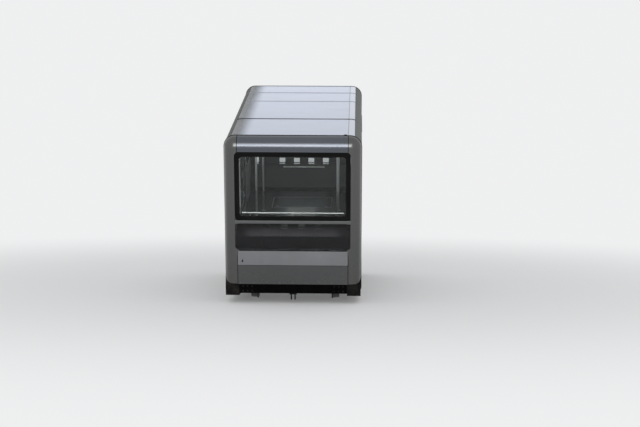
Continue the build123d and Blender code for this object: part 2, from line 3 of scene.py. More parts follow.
import logging
import math
from dataclasses import dataclass
from enum import Enum
from typing import ClassVar, Dict, Iterable, List, Optional, Sequence, Tuple, Union

import bmesh
import bpy
from mathutils import Matrix, Vector


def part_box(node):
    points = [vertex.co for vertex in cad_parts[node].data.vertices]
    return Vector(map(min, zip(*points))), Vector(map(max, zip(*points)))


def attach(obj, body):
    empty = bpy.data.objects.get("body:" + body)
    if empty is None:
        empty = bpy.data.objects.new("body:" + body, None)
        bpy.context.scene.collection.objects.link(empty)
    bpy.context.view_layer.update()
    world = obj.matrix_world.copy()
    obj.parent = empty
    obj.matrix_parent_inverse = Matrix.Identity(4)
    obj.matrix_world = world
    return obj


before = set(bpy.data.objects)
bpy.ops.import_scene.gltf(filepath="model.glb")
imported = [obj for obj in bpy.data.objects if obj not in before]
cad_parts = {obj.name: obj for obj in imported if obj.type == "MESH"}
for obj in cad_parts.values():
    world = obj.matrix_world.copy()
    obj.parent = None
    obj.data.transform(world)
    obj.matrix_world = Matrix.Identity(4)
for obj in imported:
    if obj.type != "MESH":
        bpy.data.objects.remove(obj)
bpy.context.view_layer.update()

LOG = logging.getLogger("funicular")
Colour = Tuple[float, float, float]
Point = Tuple[float, float]
MM = 0.001
TRACK_SLOPE = 0.21
TILT = math.atan(TRACK_SLOPE)
TRACK_GAUGE = 1.435
# How deep a fitted piece starts inside the surface that carries it.
SUNK = 0.3 * MM
# Edges that turn by more than this stay sharp, and a bevel rounds them.
SHARP_TURN = math.radians(35)


class Way(Enum):
    """A way out from the car's middle. A member's value is its sign along an axis."""

    @property
    def tag(self) -> str:
        """Return the member's name as it stands in the names of pieces."""
        return self.name.lower()

    def span(self, first: float, second: float) -> List[float]:
        """Return two distances from the car's middle as places on this side of it, in order."""
        return sorted((self.value * first, self.value * second))


class Side(Way):
    """A side of the car across the track, with its sign along X."""

    LEFT = -1
    RIGHT = 1


class End(Way):
    """An end of the car along the track, with its sign along Y."""

    UPHILL = -1
    DOWNHILL = 1


class Socket:
    """A shader value that takes part in Python arithmetic by adding Math nodes."""

    def __init__(self, kit: "ShaderKit", output: bpy.types.NodeSocket) -> None:
        """Hold a node's output.

        Args:
            kit: The material's kit, which adds the nodes.
            output: The output that this value stands for.
        """
        self.kit = kit
        self.output = output

    def __add__(self, other: "Value") -> "Socket":
        """Return self + other."""
        return self.kit.math("ADD", self, other)

    __radd__ = __add__

    def __mul__(self, other: "Value") -> "Socket":
        """Return self * other."""
        return self.kit.math("MULTIPLY", self, other)

    __rmul__ = __mul__

    def __sub__(self, other: "Value") -> "Socket":
        """Return self - other."""
        return self.kit.math("SUBTRACT", self, other)

    def __rsub__(self, other: "Value") -> "Socket":
        """Return other - self."""
        return self.kit.math("SUBTRACT", other, self)

    def __truediv__(self, other: "Value") -> "Socket":
        """Return self / other."""
        return self.kit.math("DIVIDE", self, other)

    def __pow__(self, other: "Value") -> "Socket":
        """Return self to the power of other."""
        return self.kit.math("POWER", self, other)

    def __abs__(self) -> "Socket":
        """Return the value without its sign."""
        return self.kit.math("ABSOLUTE", self)

    def clamp(self) -> "Socket":
        """Return the value held between 0 and 1."""
        return self.kit.math("MULTIPLY", self, 1.0, clamp=True)

    def step(self, low: float, high: float) -> "Socket":
        """Return a smooth rise from 0 at low to 1 at high.

        Args:
            low: The value where the rise starts.
            high: The value where it ends, which may be below low.

        Returns:
            The smoothed share.
        """
        share = ((self - low) / (high - low)).clamp()
        return share * share * (3.0 - 2.0 * share)


Value = Union[float, Socket]
Tone = Union[Colour, Socket]


class ShaderKit:
    """A material's node tree, with one method that makes every kind of node."""

    def __init__(self, name: str, tree: Optional[bpy.types.NodeTree] = None) -> None:
        """Start an empty tree.

        Args:
            name: The material's name.
            tree: A tree to fill instead, such as the world's.
        """
        self.material: Optional[bpy.types.Material] = None
        if tree is None:
            self.material = bpy.data.materials.new(name)
            self.material.use_nodes = True
            tree = self.material.node_tree
        self.tree = tree
        self.tree.nodes.clear()

    def node(
        self,
        kind: str,
        settings: Optional[Dict[str, object]] = None,
        values: Optional[Dict[Union[str, int], object]] = None,
        output: Union[str, int] = 0,
    ) -> Socket:
        """Add one node.

        Args:
            kind: The node's type.
            settings: Its properties, such as a Math node's operation.
            values: What its sockets get, by name or number: a number, a tuple or a Socket.
            output: The output that is returned, by name or number.

        Returns:
            The chosen output.
        """
        made = self.tree.nodes.new(kind)
        for name, setting in (settings or {}).items():
            setattr(made, name, setting)
        for name, value in (values or {}).items():
            if isinstance(value, Socket):
                self.tree.links.new(value.output, made.inputs[name])
            else:
                made.inputs[name].default_value = value
        return Socket(self, made.outputs[output] if made.outputs else None)

    def math(self, operation: str, *values: Value, clamp: bool = False) -> Socket:
        """Add a Math node.

        Args:
            operation: The node's operation.
            values: Its one or two operands.
            clamp: Whether the result stays between 0 and 1.

        Returns:
            The result.
        """
        settings = {"operation": operation, "use_clamp": clamp}
        return self.node("ShaderNodeMath", settings, dict(enumerate(values)))

    def mix(self, factor: Value, first: Tone, second: Tone) -> Socket:
        """Mix two colours.

        Args:
            factor: The second colour's share.
            first: A colour or a Socket.
            second: A colour or a Socket.

        Returns:
            The mixed colour.
        """
        values = {0: factor, 6: self._filled(first), 7: self._filled(second)}
        return self.node("ShaderNodeMix", {"data_type": "RGBA"}, values, output=2)

    def _filled(self, colour: Tone) -> Union[Socket, Tuple[float, ...]]:
        """Return a colour with its alpha, or a Socket as it is."""
        return colour if isinstance(colour, Socket) else (*colour, 1.0)

    def shade(self, colour: Tone, factor: Value) -> Socket:
        """Make a colour lighter or darker by a factor.

        Args:
            colour: A colour or a Socket.
            factor: What its three parts are multiplied by.

        Returns:
            The shaded colour.
        """
        settings = {"operation": "SCALE"}
        return self.node("ShaderNodeVectorMath", settings, {0: colour, "Scale": factor})

    def position(self) -> Socket:
        """Return the place on the piece, in metres in its own frame."""
        return self.node("ShaderNodeTexCoord", output="Object")

    def axis(self, vector: Socket, letter: str) -> Socket:
        """Return one part of a vector, by its letter."""
        return self.node("ShaderNodeSeparateXYZ", {}, {0: vector}, output=letter)

    def stretched(self, scale: Tuple[float, float, float]) -> Socket:
        """Return the place, scaled along each axis."""
        settings = {"operation": "MULTIPLY"}
        return self.node("ShaderNodeVectorMath", settings, {0: self.position(), 1: scale})

    def noise(
        self, scale: float, detail: float = 2.0, rough: float = 0.5, vector: Optional[Socket] = None
    ) -> Socket:
        """Add a noise texture.

        Args:
            scale: Features per metre.
            detail: Octaves.
            rough: Share of the finer octaves.
            vector: Where it is read, or the place on the piece.

        Returns:
            The noise, about 0.5.
        """
        values = {
            "Vector": vector or self.position(),
            "Scale": scale,
            "Detail": detail,
            "Roughness": rough,
        }
        return self.node("ShaderNodeTexNoise", {}, values, output="Fac")

    def bump(self, height: Socket, distance: float) -> Socket:
        """Turn a height into a normal.

        Args:
            height: The relief, from 0 to 1.
            distance: What 1 stands for, in metres.

        Returns:
            The normal.
        """
        return self.node("ShaderNodeBump", {}, {"Height": height, "Distance": distance})

    def principled(self, values: Dict[str, object]) -> Socket:
        """Add the main shader, with its socket values by name."""
        return self.node("ShaderNodeBsdfPrincipled", {}, values)

    def finish(self, shader: Socket) -> bpy.types.Material:
        """Send a shader to the material's output.

        Args:
            shader: The surface.

        Returns:
            The material.
        """
        self.node("ShaderNodeOutputMaterial", {}, {"Surface": shader})
        return self.material


_MATERIALS: Dict[str, bpy.types.Material] = {}


@dataclass(frozen=True)
class Finish:
    """One surface finish. Its material is built once, when a piece first asks for it."""

    name: str
    slot: str

    def surface(self, kit: ShaderKit) -> Socket:
        """Build the finish's nodes and return its shader."""
        raise NotImplementedError

    def material(self) -> bpy.types.Material:
        """Return the finish's material, built at its first use."""
        if self.name not in _MATERIALS:
            kit = ShaderKit(self.name)
            _MATERIALS[self.name] = kit.finish(self.surface(kit))
        return _MATERIALS[self.name]


@dataclass(frozen=True)
class CoachPaint(Finish):
    """Metallic coach paint with cloudy tone, rain streaks, and a band low on the body that is partly dirt and
    partly painted shade.
    """

    colour: Colour = (0.106, 0.1065, 0.106)
    metallic: float = 0.88
    roughness: float = 0.25
    coat: float = 0.25
    dust: Colour = (0.06, 0.056, 0.05)
    # The grime band low on the body is partly dirt and partly painted shade: it darkens the lower panels.
    grime_low: float = 0.93
    grime_high: float = 1.35
    grime: float = 0.45
    streak: float = 0.08
    flake: float = 0.03
    cloudiness: float = 0.22

    def surface(self, kit: ShaderKit) -> Socket:
        """Build the paint's nodes and return its shader."""
        return kit.principled(self.values(kit))

    def values(self, kit: ShaderKit) -> Dict[str, object]:
        """Return what the shader's sockets get."""
        height = kit.axis(kit.position(), "Z")
        cloud = kit.noise(0.9, detail=4.0, rough=0.55)
        rain = kit.noise(1.0, detail=3.0, rough=0.6, vector=kit.stretched((9.0, 9.0, 0.45)))
        patch = kit.noise(5.0, detail=5.0, rough=0.62)
        # Dirt and painted shade: darker, duller and less metallic low on the body, with rain streaks.
        low = height.step(self.grime_high, self.grime_low)
        dirt_and_low_shade = (low * (0.3 + patch) * self.grime + rain.step(0.56, 0.8) * self.streak).clamp()
        sparkle = kit.noise(900.0, detail=1.0)
        tone = 1.0 + (cloud - 0.5) * self.cloudiness + (sparkle - 0.5) * self.flake
        ripple = kit.noise(55.0, detail=2.0, rough=0.4) * 0.9 + kit.noise(420.0, detail=1.0) * 0.1
        return {
            "Base Color": kit.mix(dirt_and_low_shade, kit.shade(self.colour, tone), self.dust),
            "Metallic": self.metallic * (1.0 - dirt_and_low_shade * 0.75),
            "Roughness": self.roughness + (patch - 0.5) * 0.1 + dirt_and_low_shade * 0.28,
            "Coat Weight": self.coat * (1.0 - dirt_and_low_shade),
            "Coat Roughness": 0.12,
            "Specular IOR Level": 0.3,
            "Normal": kit.bump(ripple, 0.08 * MM),
        }


@dataclass(frozen=True)
class WallPaint(CoachPaint):
    """Coach paint outside, the roof's pale paint over the shoulder and laminate inside, with painted shade
    below the left shoulder and on the left edge, painted reflection below the right shoulder, and painted
    light growing towards the downhill end.
    """

    crown: Colour = (0.74, 0.78, 0.865)
    stain: Colour = (0.3, 0.3, 0.31)
    left_edge_shade: Colour = (0.14, 0.145, 0.14)
    # The band below the shoulder is painted shade on the left side and painted reflection, lighter, on the
    # right side.
    film: Colour = (0.085, 0.088, 0.086)
    film_right: Colour = (0.126, 0.132, 0.131)
    laminate: Colour = (0.33, 0.335, 0.34)
    downhill_lift: float = 0.05
    left_edge_shade_from: float = -0.8
    left_edge_shade_to: float = -1.0
    roof_edge: float = 1.095
    inner_face: float = 1.156
    ceiling_drop: float = 72 * MM
    film_foot: float = 0.3
    film_head: float = 0.16
    border: float = 1 * MM

    def surface(self, kit: ShaderKit) -> Socket:
        """Build the wall's nodes and return its shader."""
        values = self.values(kit)
        place = kit.position()
        across, height = abs(kit.axis(place, "X")), kit.axis(place, "Z")
        ceiling, soft = DATUM.roof - self.ceiling_drop, self.border
        over = height.step(ceiling - 2 * soft, ceiling + 2 * soft)
        crown = across.step(self.roof_edge + soft, self.roof_edge - soft) * over
        inside = across.step(self.inner_face + soft, self.inner_face - soft) * (1.0 - over)
        fleck = kit.noise(240.0, detail=2.0)
        stain = kit.noise(26.0, detail=4.0, rough=0.7).step(0.55, 0.85) * 0.2
        # Painted light: the crown's paint grows lighter towards the downhill end.
        lifted_crown = kit.shade(self.crown, 1.0 + kit.axis(place, "Y") * self.downhill_lift)
        # Painted shade: the crown's left edge is darkened in mottled patches.
        edge = kit.axis(place, "X").step(self.left_edge_shade_from, self.left_edge_shade_to)
        left_edge_shade = edge * (0.7 + kit.noise(9.0, detail=5.0, rough=0.7) * 0.5)
        roof = kit.mix(left_edge_shade * 0.9, kit.mix(stain, lifted_crown, self.stain), self.left_edge_shade)
        laminate = kit.shade(self.laminate, 0.9 + fleck * 0.2)
        # Painted shade and painted reflection: the band below the shoulder, dark on the left and light on the
        # right.
        film = height.step(DATUM.roof - self.film_foot, DATUM.roof - self.film_head)
        film = film * (1.0 - crown) * (1.0 - inside) * 0.9
        settled_dust_and_shade = kit.mix(kit.axis(place, "X").step(-0.1, 0.1), self.film, self.film_right)
        paint = kit.mix(film, values["Base Color"], settled_dust_and_shade)
        bare = (1.0 - inside) * (1.0 - film) * (1.0 - left_edge_shade * crown)
        values["Base Color"] = kit.mix(inside, kit.mix(crown, paint, roof), laminate)
        values["Metallic"] = values["Metallic"] * (1.0 - crown * 0.86) * bare
        values["Roughness"] = values["Roughness"] + inside * 0.2 + crown * 0.19 + film * 0.4
        values["Coat Weight"] = values["Coat Weight"] * bare * (1.0 - crown)
        values["Specular IOR Level"] = 0.15
        return kit.principled(values)


@dataclass(frozen=True)
class RoofPaint(Finish):
    """Pale roof paint with dried rain marks and dust along the joints, a mottled left edge that is painted
    shade, and painted light growing towards the downhill end.
    """

    colour: Colour = (0.723, 0.77, 0.88)
    stain: Colour = (0.3, 0.3, 0.31)
    left_edge_shade: Colour = (0.14, 0.145, 0.14)
    roughness: float = 0.62
    metallic: float = 0.09
    specular: float = 0.1
    spotting: float = 0.16
    downhill_lift: float = 0.05
    left_edge_shade_from: float = -0.75
    left_edge_shade_to: float = -1.0

    def surface(self, kit: ShaderKit) -> Socket:
        """Build the paint's nodes and return its shader."""
        cloud = kit.noise(0.7, detail=5.0, rough=0.6)
        fleck = kit.noise(26.0, detail=4.0, rough=0.7)
        runs = kit.noise(1.0, detail=3.0, rough=0.6, vector=kit.stretched((2.2, 9.0, 2.0)))
        stain = (cloud.step(0.5, 0.85) * self.spotting + fleck.step(0.6, 0.85) * self.spotting).clamp()
        # The tone grows lighter towards the downhill end: painted light.
        tone = 1.0 + (runs - 0.5) * 0.1 + kit.axis(kit.position(), "Y") * self.downhill_lift
        # Painted shade: the roof's left edge is darkened in mottled patches.
        edge = kit.axis(kit.position(), "X").step(self.left_edge_shade_from, self.left_edge_shade_to)
        patchy = kit.noise(1.0, detail=5.0, rough=0.7, vector=kit.stretched((7.0, 2.0, 7.0)))
        left_edge_shade = (edge * (0.6 + patchy * 0.5)).clamp()
        colour = kit.mix(left_edge_shade * 0.85, kit.mix(stain, kit.shade(self.colour, tone), self.stain), self.left_edge_shade)
        sheet = kit.noise(2.4, detail=1.0) * 0.9 + kit.noise(60.0, detail=2.0) * 0.1
        return kit.principled(
            {
                "Base Color": colour,
                "Metallic": self.metallic * (1.0 - stain) * (1.0 - left_edge_shade * 0.6),
                "Roughness": self.roughness + stain * 0.2 + (fleck - 0.5) * 0.08 + left_edge_shade * 0.2,
                "Specular IOR Level": self.specular,
                "Normal": kit.bump(sheet, 1.2 * MM),
            }
        )


@dataclass(frozen=True)
class Gloss(Finish):
    """Smooth black glass border or moulded trim, with a film of dust."""

    colour: Colour = (0.005, 0.0056, 0.005)
    roughness: float = 0.1
    dust: float = 0.03
    specular: float = 0.05
    settled_dust_and_shade: Colour = (0.1, 0.1, 0.095)

    def surface(self, kit: ShaderKit) -> Socket:
        """Build the trim's nodes and return its shader."""
        film = kit.noise(3.0, detail=5.0, rough=0.6).step(0.42, 0.8) * self.dust
        speck = kit.noise(160.0, detail=2.0)
        return kit.principled(
            {
                "Base Color": kit.mix(film, self.colour, self.settled_dust_and_shade),
                "Roughness": self.roughness + film * 1.2 + (speck - 0.5) * 0.03,
                "Specular IOR Level": self.specular,
                "Normal": kit.bump(speck, 0.03 * MM),
            }
        )


@dataclass(frozen=True)
class Pane(Finish):
    """Window glass. Lamps shine through it, and dust dulls it a little."""

    tint: Colour = (0.8, 0.84, 0.83)
    shadow: Colour = (0.76, 0.79, 0.78)
    film: float = 0.05
    index: float = 1.32

    def surface(self, kit: ShaderKit) -> Socket:
        """Build the glass's nodes and return its shader."""
        smear = kit.noise(2.2, detail=4.0, rough=0.6).step(0.4, 0.85) * self.film
        glass = kit.principled(
            {
                "Base Color": (*self.tint, 1.0),
                "Roughness": smear * 0.5,
                "Transmission Weight": 1.0,
                "IOR": self.index,
            }
        )
        lamps = kit.node("ShaderNodeLightPath", output="Is Shadow Ray")
        clear = kit.node("ShaderNodeBsdfTransparent", {}, {"Color": (*self.shadow, 1.0)})
        return kit.node("ShaderNodeMixShader", {}, {0: lamps, 1: glass, 2: clear})


@dataclass(frozen=True)
class SmokedPane(Pane):
    """Dark lower glass with a pale film that is painted reflection: strong above its crease, weaker at its
    sides, faint below it.
    """

    # The pale tone and the shares above and below the crease set a painted reflection on the glass.
    sheen_tone: Colour = (0.22, 0.22, 0.235)
    crease: float = 0.894
    head: float = 1.12
    above: float = 0.145
    below: float = 0.028
    crease_blur: float = 4 * MM
    side_share: float = 0.3
    side_square: float = 0.8
    middle_square: float = 0.5

    def surface(self, kit: ShaderKit) -> Socket:
        """Build the glass's nodes and return its shader."""
        height = kit.axis(kit.position(), "Z")
        crease = DATUM.skirt + self.crease
        under = height.step(crease + self.crease_blur, crease - self.crease_blur)
        across = kit.axis(kit.position(), "X")
        inner = (across * across).step(self.side_square, self.middle_square)
        middle = self.side_share + inner * (1.0 - self.side_share)
        # Painted reflection: a pale film, strongest above the crease, weaker at the sides and faint below the
        # crease.
        upper_sheen = height.step(DATUM.skirt + self.head, crease) * self.above * middle
        sheen_variation = 0.8 + kit.noise(1.0, detail=4.0, rough=0.6, vector=kit.stretched((3.0, 3.0, 0.8))) * 0.4
        share = ((upper_sheen * (1.0 - under) + under * self.below) * sheen_variation).clamp()
        film = kit.principled({"Base Color": (*self.sheen_tone, 1.0), "Roughness": 0.6, "Specular IOR Level": 0.1})
        return kit.node("ShaderNodeMixShader", {}, {0: share, 1: super().surface(kit), 2: film})


@dataclass(frozen=True)
class Rubber(Finish):
    """Matt black rubber with a chalky bloom."""

    colour: Colour = (0.018, 0.018, 0.018)
    chalk: Colour = (0.075, 0.072, 0.068)

    def tone(self, kit: ShaderKit) -> Tone:
        """Return the rubber's own colour."""
        return self.colour

    def surface(self, kit: ShaderKit) -> Socket:
        """Build the rubber's nodes and return its shader."""
        bloom = kit.noise(14.0, detail=5.0, rough=0.65).step(0.45, 0.8)
        return kit.principled(
            {
                "Base Color": kit.mix(bloom * 0.25, self.tone(kit), self.chalk),
                "Roughness": 0.62 + bloom * 0.25,
                "Specular IOR Level": 0.12,
                "Normal": kit.bump(kit.noise(700.0, detail=2.0), 0.1 * MM),
            }
        )


@dataclass(frozen=True)
class JointRubber(Rubber):
    """Rubber of the body's joints, with weathered pale covers on the roof behind its first bay."""

    cover: Colour = (0.36, 0.38, 0.43)
    first_bay: float = -0.6
    last_bay: float = 2.2
    fade: float = 0.1
    cover_foot: float = 60 * MM
    cover_head: float = 30 * MM

    def tone(self, kit: ShaderKit) -> Tone:
        """Return the colour with its pale covers."""
        place = kit.position()
        height, along = kit.axis(place, "Z"), kit.axis(place, "Y")
        bays = along.step(self.first_bay - self.fade, self.first_bay)
        bays = bays * along.step(self.last_bay + self.fade, self.last_bay)
        pale = height.step(DATUM.roof - self.cover_foot, DATUM.roof - self.cover_head) * bays
        return kit.mix(pale, self.colour, self.cover)


@dataclass(frozen=True)
class Brushed(Finish):
    """Metal brushed along one axis, with handling marks."""

    colour: Colour = (0.42, 0.42, 0.43)
    roughness: float = 0.3
    grain: Tuple[float, float, float] = (2.0, 400.0, 400.0)
    marks: float = 0.3
    tarnish: Colour = (0.14, 0.135, 0.13)

    def surface(self, kit: ShaderKit) -> Socket:
        """Build the metal's nodes and return its shader."""
        lines = kit.noise(1.0, detail=2.0, rough=0.6, vector=kit.stretched(self.grain))
        marks = kit.noise(11.0, detail=5.0, rough=0.65).step(0.5, 0.8) * self.marks
        colour = kit.shade(self.colour, 0.92 + lines * 0.16)
        return kit.principled(
            {
                "Base Color": kit.mix(marks, colour, self.tarnish),
                "Metallic": 1.0 - marks * 0.4,
                "Roughness": self.roughness + (lines - 0.5) * 0.14 + marks * 0.3,
                "Normal": kit.bump(lines, 0.05 * MM),
            }
        )


@dataclass(frozen=True)
class ChassisPaint(Finish):
    """Black chassis paint under track dust and rust bloom, heavier towards the rails and lighter away from
    the uphill tips, which stay near black as painted shade.
    """

    colour: Colour = (0.02, 0.02, 0.021)
    dust: Colour = (0.055, 0.049, 0.042)
    rust: Colour = (0.1, 0.045, 0.022)
    amount: float = 0.5
    rusting: float = 0.4
    gloss: float = 0.08
    tip_shade_lift: float = 0.5
    dust_head: float = 1.0
    dust_foot: float = 0.1
    tip_shade_lift_from: float = -2.45
    tip_shade_lift_to: float = -1.5

    def surface(self, kit: ShaderKit) -> Socket:
        """Build the paint's nodes and return its shader."""
        place = kit.position()
        above_track = kit.axis(place, "Z") + kit.axis(place, "Y") * TRACK_SLOPE
        low = above_track.step(self.dust_head, self.dust_foot)
        cloud = kit.noise(6.0, detail=6.0, rough=0.65)
        spots = kit.noise(24.0, detail=5.0, rough=0.7)
        # Dust lifts the paint away from the uphill tips; the tips stay near black as painted shade.
        behind = kit.axis(place, "Y").step(self.tip_shade_lift_from, self.tip_shade_lift_to) * self.tip_shade_lift
        dusty = ((0.25 + low) * cloud.step(0.35, 0.75) * self.amount + behind * cloud).clamp()
        rusty = (spots.step(0.66, 0.78) * (0.3 + low) * self.rusting).clamp()
        colour = kit.mix(rusty, kit.mix(dusty, self.colour, self.dust), self.rust)
        return kit.principled(
            {
                "Base Color": colour,
                "Roughness": 0.42 + dusty * 0.4 + rusty * 0.3,
                "Specular IOR Level": self.gloss,
                "Normal": kit.bump(spots * 0.7 + kit.noise(300.0, detail=2.0) * 0.3, 0.4 * MM),
            }
        )


@dataclass(frozen=True)
class RailSteel(Finish):
    """Wheel steel: polished where it rolls and grips, brown and oily elsewhere."""

    polish_from: float = 0.238
    polish_full: float = 0.244
    flange_full: float = 0.259
    flange_to: float = 0.267
    web: Colour = (0.075, 0.055, 0.042)
    oil: Colour = (0.03, 0.027, 0.025)
    bright: Colour = (0.19, 0.185, 0.178)
    end: End = End.UPHILL

    def surface(self, kit: ShaderKit) -> Socket:
        """Build the steel's nodes and return its shader."""
        low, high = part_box(f"wheelset_{self.end.tag}")
        centre = (low + high) / 2
        place = kit.position()
        across = kit.axis(place, "Y") - centre.y
        up = kit.axis(place, "Z") - centre.z
        radius = (across * across + up * up) ** 0.5
        rolled = radius.step(self.polish_from, self.polish_full)
        rolled = rolled * radius.step(self.flange_to, self.flange_full)
        grime = kit.noise(18.0, detail=5.0, rough=0.65)
        worn = (rolled * (0.75 + grime * 0.4)).clamp()
        colour = kit.mix(worn, kit.mix(grime.step(0.35, 0.7), self.web, self.oil), self.bright)
        return kit.principled(
            {
                "Base Color": colour,
                "Metallic": 0.3 + worn * 0.7,
                "Roughness": 0.62 - worn * 0.36 + (grime - 0.5) * 0.15,
                "Normal": kit.bump(kit.noise(160.0, detail=3.0), 0.3 * MM),
            }
        )


@dataclass(frozen=True)
class CastIron(Finish):
    """Bare cast iron with a rusty skin."""

    colour: Colour = (0.07, 0.06, 0.052)
    rust: Colour = (0.16, 0.075, 0.04)

    def surface(self, kit: ShaderKit) -> Socket:
        """Build the iron's nodes and return its shader."""
        skin = kit.noise(30.0, detail=6.0, rough=0.7)
        colour = kit.mix(skin.step(0.4, 0.75), self.colour, self.rust)
        return kit.principled(
            {
                "Base Color": colour,
                "Metallic": 0.25,
                "Roughness": 0.66 + (skin - 0.5) * 0.3,
                "Normal": kit.bump(kit.noise(240.0, detail=3.0, rough=0.6), 0.6 * MM),
            }
        )


@dataclass(frozen=True)
class FloorCovering(Finish):
    """Speckled safety floor covering, worn in its middle and soiled along its sides, with a pale patch
    between the doors that is a painted pool of light.
    """

    colour: Colour = (0.075, 0.078, 0.082)
    chip: Colour = (0.3, 0.31, 0.32)
    scuff: Colour = (0.15, 0.148, 0.142)
    soil: Colour = (0.022, 0.022, 0.021)
    # Colour of the pale patch between the doors: a painted pool of light.
    pale: Colour = (0.4, 0.4, 0.39)
    soil_from: float = 0.34
    soil_to: float = 0.62
    light_pool_across: Point = (0.38, 0.22)
    light_pool_along: Point = (1.3, 1.16)

    def surface(self, kit: ShaderKit) -> Socket:
        """Build the covering's nodes and return its shader."""
        chips = kit.node(
            "ShaderNodeTexVoronoi", {}, {"Vector": kit.position(), "Scale": 260.0}, output="Color"
        )
        fleck = kit.axis(chips, "X")
        across = abs(kit.axis(kit.position(), "X"))
        along = abs(kit.axis(kit.position(), "Y"))
        worn = (1.0 - across).clamp() * kit.noise(3.0, detail=4.0).step(0.3, 0.7) * 0.4
        soiled = across.step(self.soil_from, self.soil_to) * 0.8
        # Painted pool of light on the floor between the doors.
        stand = across.step(*self.light_pool_across) * along.step(*self.light_pool_along) * 0.8
        colour = kit.mix(fleck.step(0.72, 0.78) * 0.6, self.colour, self.chip)
        colour = kit.mix(worn, colour, self.scuff)
        colour = kit.mix(soiled, colour, self.soil)
        return kit.principled(
            {
                "Base Color": kit.mix(stand, colour, self.pale),
                "Roughness": 0.55 + worn * 0.3,
                "Normal": kit.bump(fleck, 0.3 * MM),
            }
        )


@dataclass(frozen=True)
class Enamel(Finish):
    """Plain enamel or laminate with a fine texture and faint soiling."""

    colour: Colour = (0.62, 0.63, 0.64)
    roughness: float = 0.5
    soil: float = 0.2
    soil_tone: float = 0.55

    def surface(self, kit: ShaderKit) -> Socket:
        """Build the enamel's nodes and return its shader."""
        soil = kit.noise(2.6, detail=5.0, rough=0.6).step(0.4, 0.8) * self.soil
        grain = kit.noise(480.0, detail=2.0)
        soiled = tuple(self.soil_tone * part for part in self.colour)
        return kit.principled(
            {
                "Base Color": kit.mix(soil, self.colour, soiled),
                "Roughness": self.roughness + soil * 0.2 + (grain - 0.5) * 0.08,
                "Normal": kit.bump(grain, 0.12 * MM),
            }
        )


BODY_PAINT = CoachPaint("coach_paint_grey", "body_grey")
# The roll's paint is a darker, bluish copy of the body paint: its tint is painted reflection of the sky.
FAIRING_SKY_TINT_PAINT = CoachPaint(
    "fairing_paint", "body_grey", colour=(0.098, 0.106, 0.122), roughness=0.23, grime=0.0
)
# The two skirt panels are one paint: the upper copy is lighter and bluish as painted reflection of the sky,
# the lower copy darker as painted shade.
UPPER_SKIRT_LIT_PAINT = CoachPaint("skirt_paint_upper_lit", "body_grey", colour=(0.13, 0.133, 0.139), grime=0.1)
LOWER_SKIRT_SHADED_PAINT = CoachPaint("skirt_paint_lower_shaded", "body_grey", colour=(0.099, 0.101, 0.102), grime=0.12)
WALL_PAINT = WallPaint("wall_paint", "body_grey")
ROOF_PAINT = RoofPaint("roof_paint_pale", "roof_grey")
BORDER = Gloss("glass_border_black", "black_border")
SMOKED = SmokedPane(
    "smoked_glass", "smoked_glass", tint=(0.26, 0.265, 0.275), shadow=(0.1, 0.1, 0.105), index=1.26
)
# The downhill lower glass is the same smoked glass, made clearer and with less painted reflection so that the
# far end reads lit: a lit copy of one material.
SMOKED_FAR_LIT = SmokedPane(
    "smoked_glass_far_lit", "smoked_glass", tint=(0.52, 0.53, 0.54), shadow=(0.16, 0.16, 0.165),
    index=1.26, above=0.1
)
GLASS = Pane("window_glass", "clear_glass")
SEAL = Rubber("seal_rubber", "black_rubber", colour=(0.01, 0.01, 0.01))
JOINTS = JointRubber("joint_rubber", "black_rubber", colour=(0.01, 0.01, 0.01))
STRIP = Brushed("strip_metal", "trim_metal", colour=(0.13, 0.135, 0.135), roughness=0.34)
CAP = Brushed(
    "cap_metal", "trim_metal", colour=(0.17, 0.172, 0.175), roughness=0.36, grain=(60.0, 60.0, 60.0)
)
TRACK_METAL = Brushed("door_track_metal", "trim_metal", grain=(400.0, 2.0, 400.0))
STAINLESS = Brushed("stainless_steel", "stainless", colour=(0.45, 0.45, 0.445), roughness=0.3)
# The chassis paint is near black: partly its black paint, partly painted shade under the car.
CHASSIS = ChassisPaint(
    "chassis_black_paint", "chassis_black", colour=(0.0045, 0.0045, 0.0048), amount=0.28, gloss=0.04
)
# The headstocks' paint is almost pure black: painted shade, standing in for the deep shadow under the car.
END_BEAM_SHADE = ChassisPaint(
    "end_beam_shade_paint", "chassis_black", colour=(0.002, 0.002, 0.002), amount=0.02, rusting=0.03, gloss=0.01,
    tip_shade_lift=0.35,
)
ROOF_SEALANT = Enamel("roof_sealant", "black_rubber", colour=(0.54, 0.57, 0.63), roughness=0.6)
BOLT = ChassisPaint("bolt_heads", "chassis_black", colour=(0.085, 0.083, 0.08), amount=0.3)
PIPE = Brushed("brake_pipe", "trim_metal", colour=(0.2, 0.2, 0.2), roughness=0.42, grain=(50.0, 2.0, 50.0))
CASES = ChassisPaint("case_paint", "case_grey", colour=(0.045, 0.045, 0.048), amount=0.7)
IRON = CastIron("brake_iron", "brake_steel")
FLOOR = FloorCovering("floor_covering", "floor_covering")
CEILING = Enamel("ceiling_enamel", "ceiling_white")
LINING = Enamel("lining_enamel", "ceiling_white", colour=(0.26, 0.265, 0.27), roughness=0.45)
CONSOLE = Enamel("console_laminate", "case_grey", colour=(0.045, 0.046, 0.048), roughness=0.5)
UPRIGHT = Enamel("upright_enamel", "case_grey", colour=(0.035, 0.036, 0.037), roughness=0.5)
# Pale rub rail for the downhill console: a painted highlight.
CONSOLE_EDGE_HIGHLIGHT = Enamel("console_edge_pale", "ceiling_white", colour=(0.82, 0.82, 0.8), roughness=0.4)
DIFFUSER = Enamel("lamp_diffuser", "lamp_diffuser", colour=(0.85, 0.85, 0.83), roughness=0.35, soil=0.08)

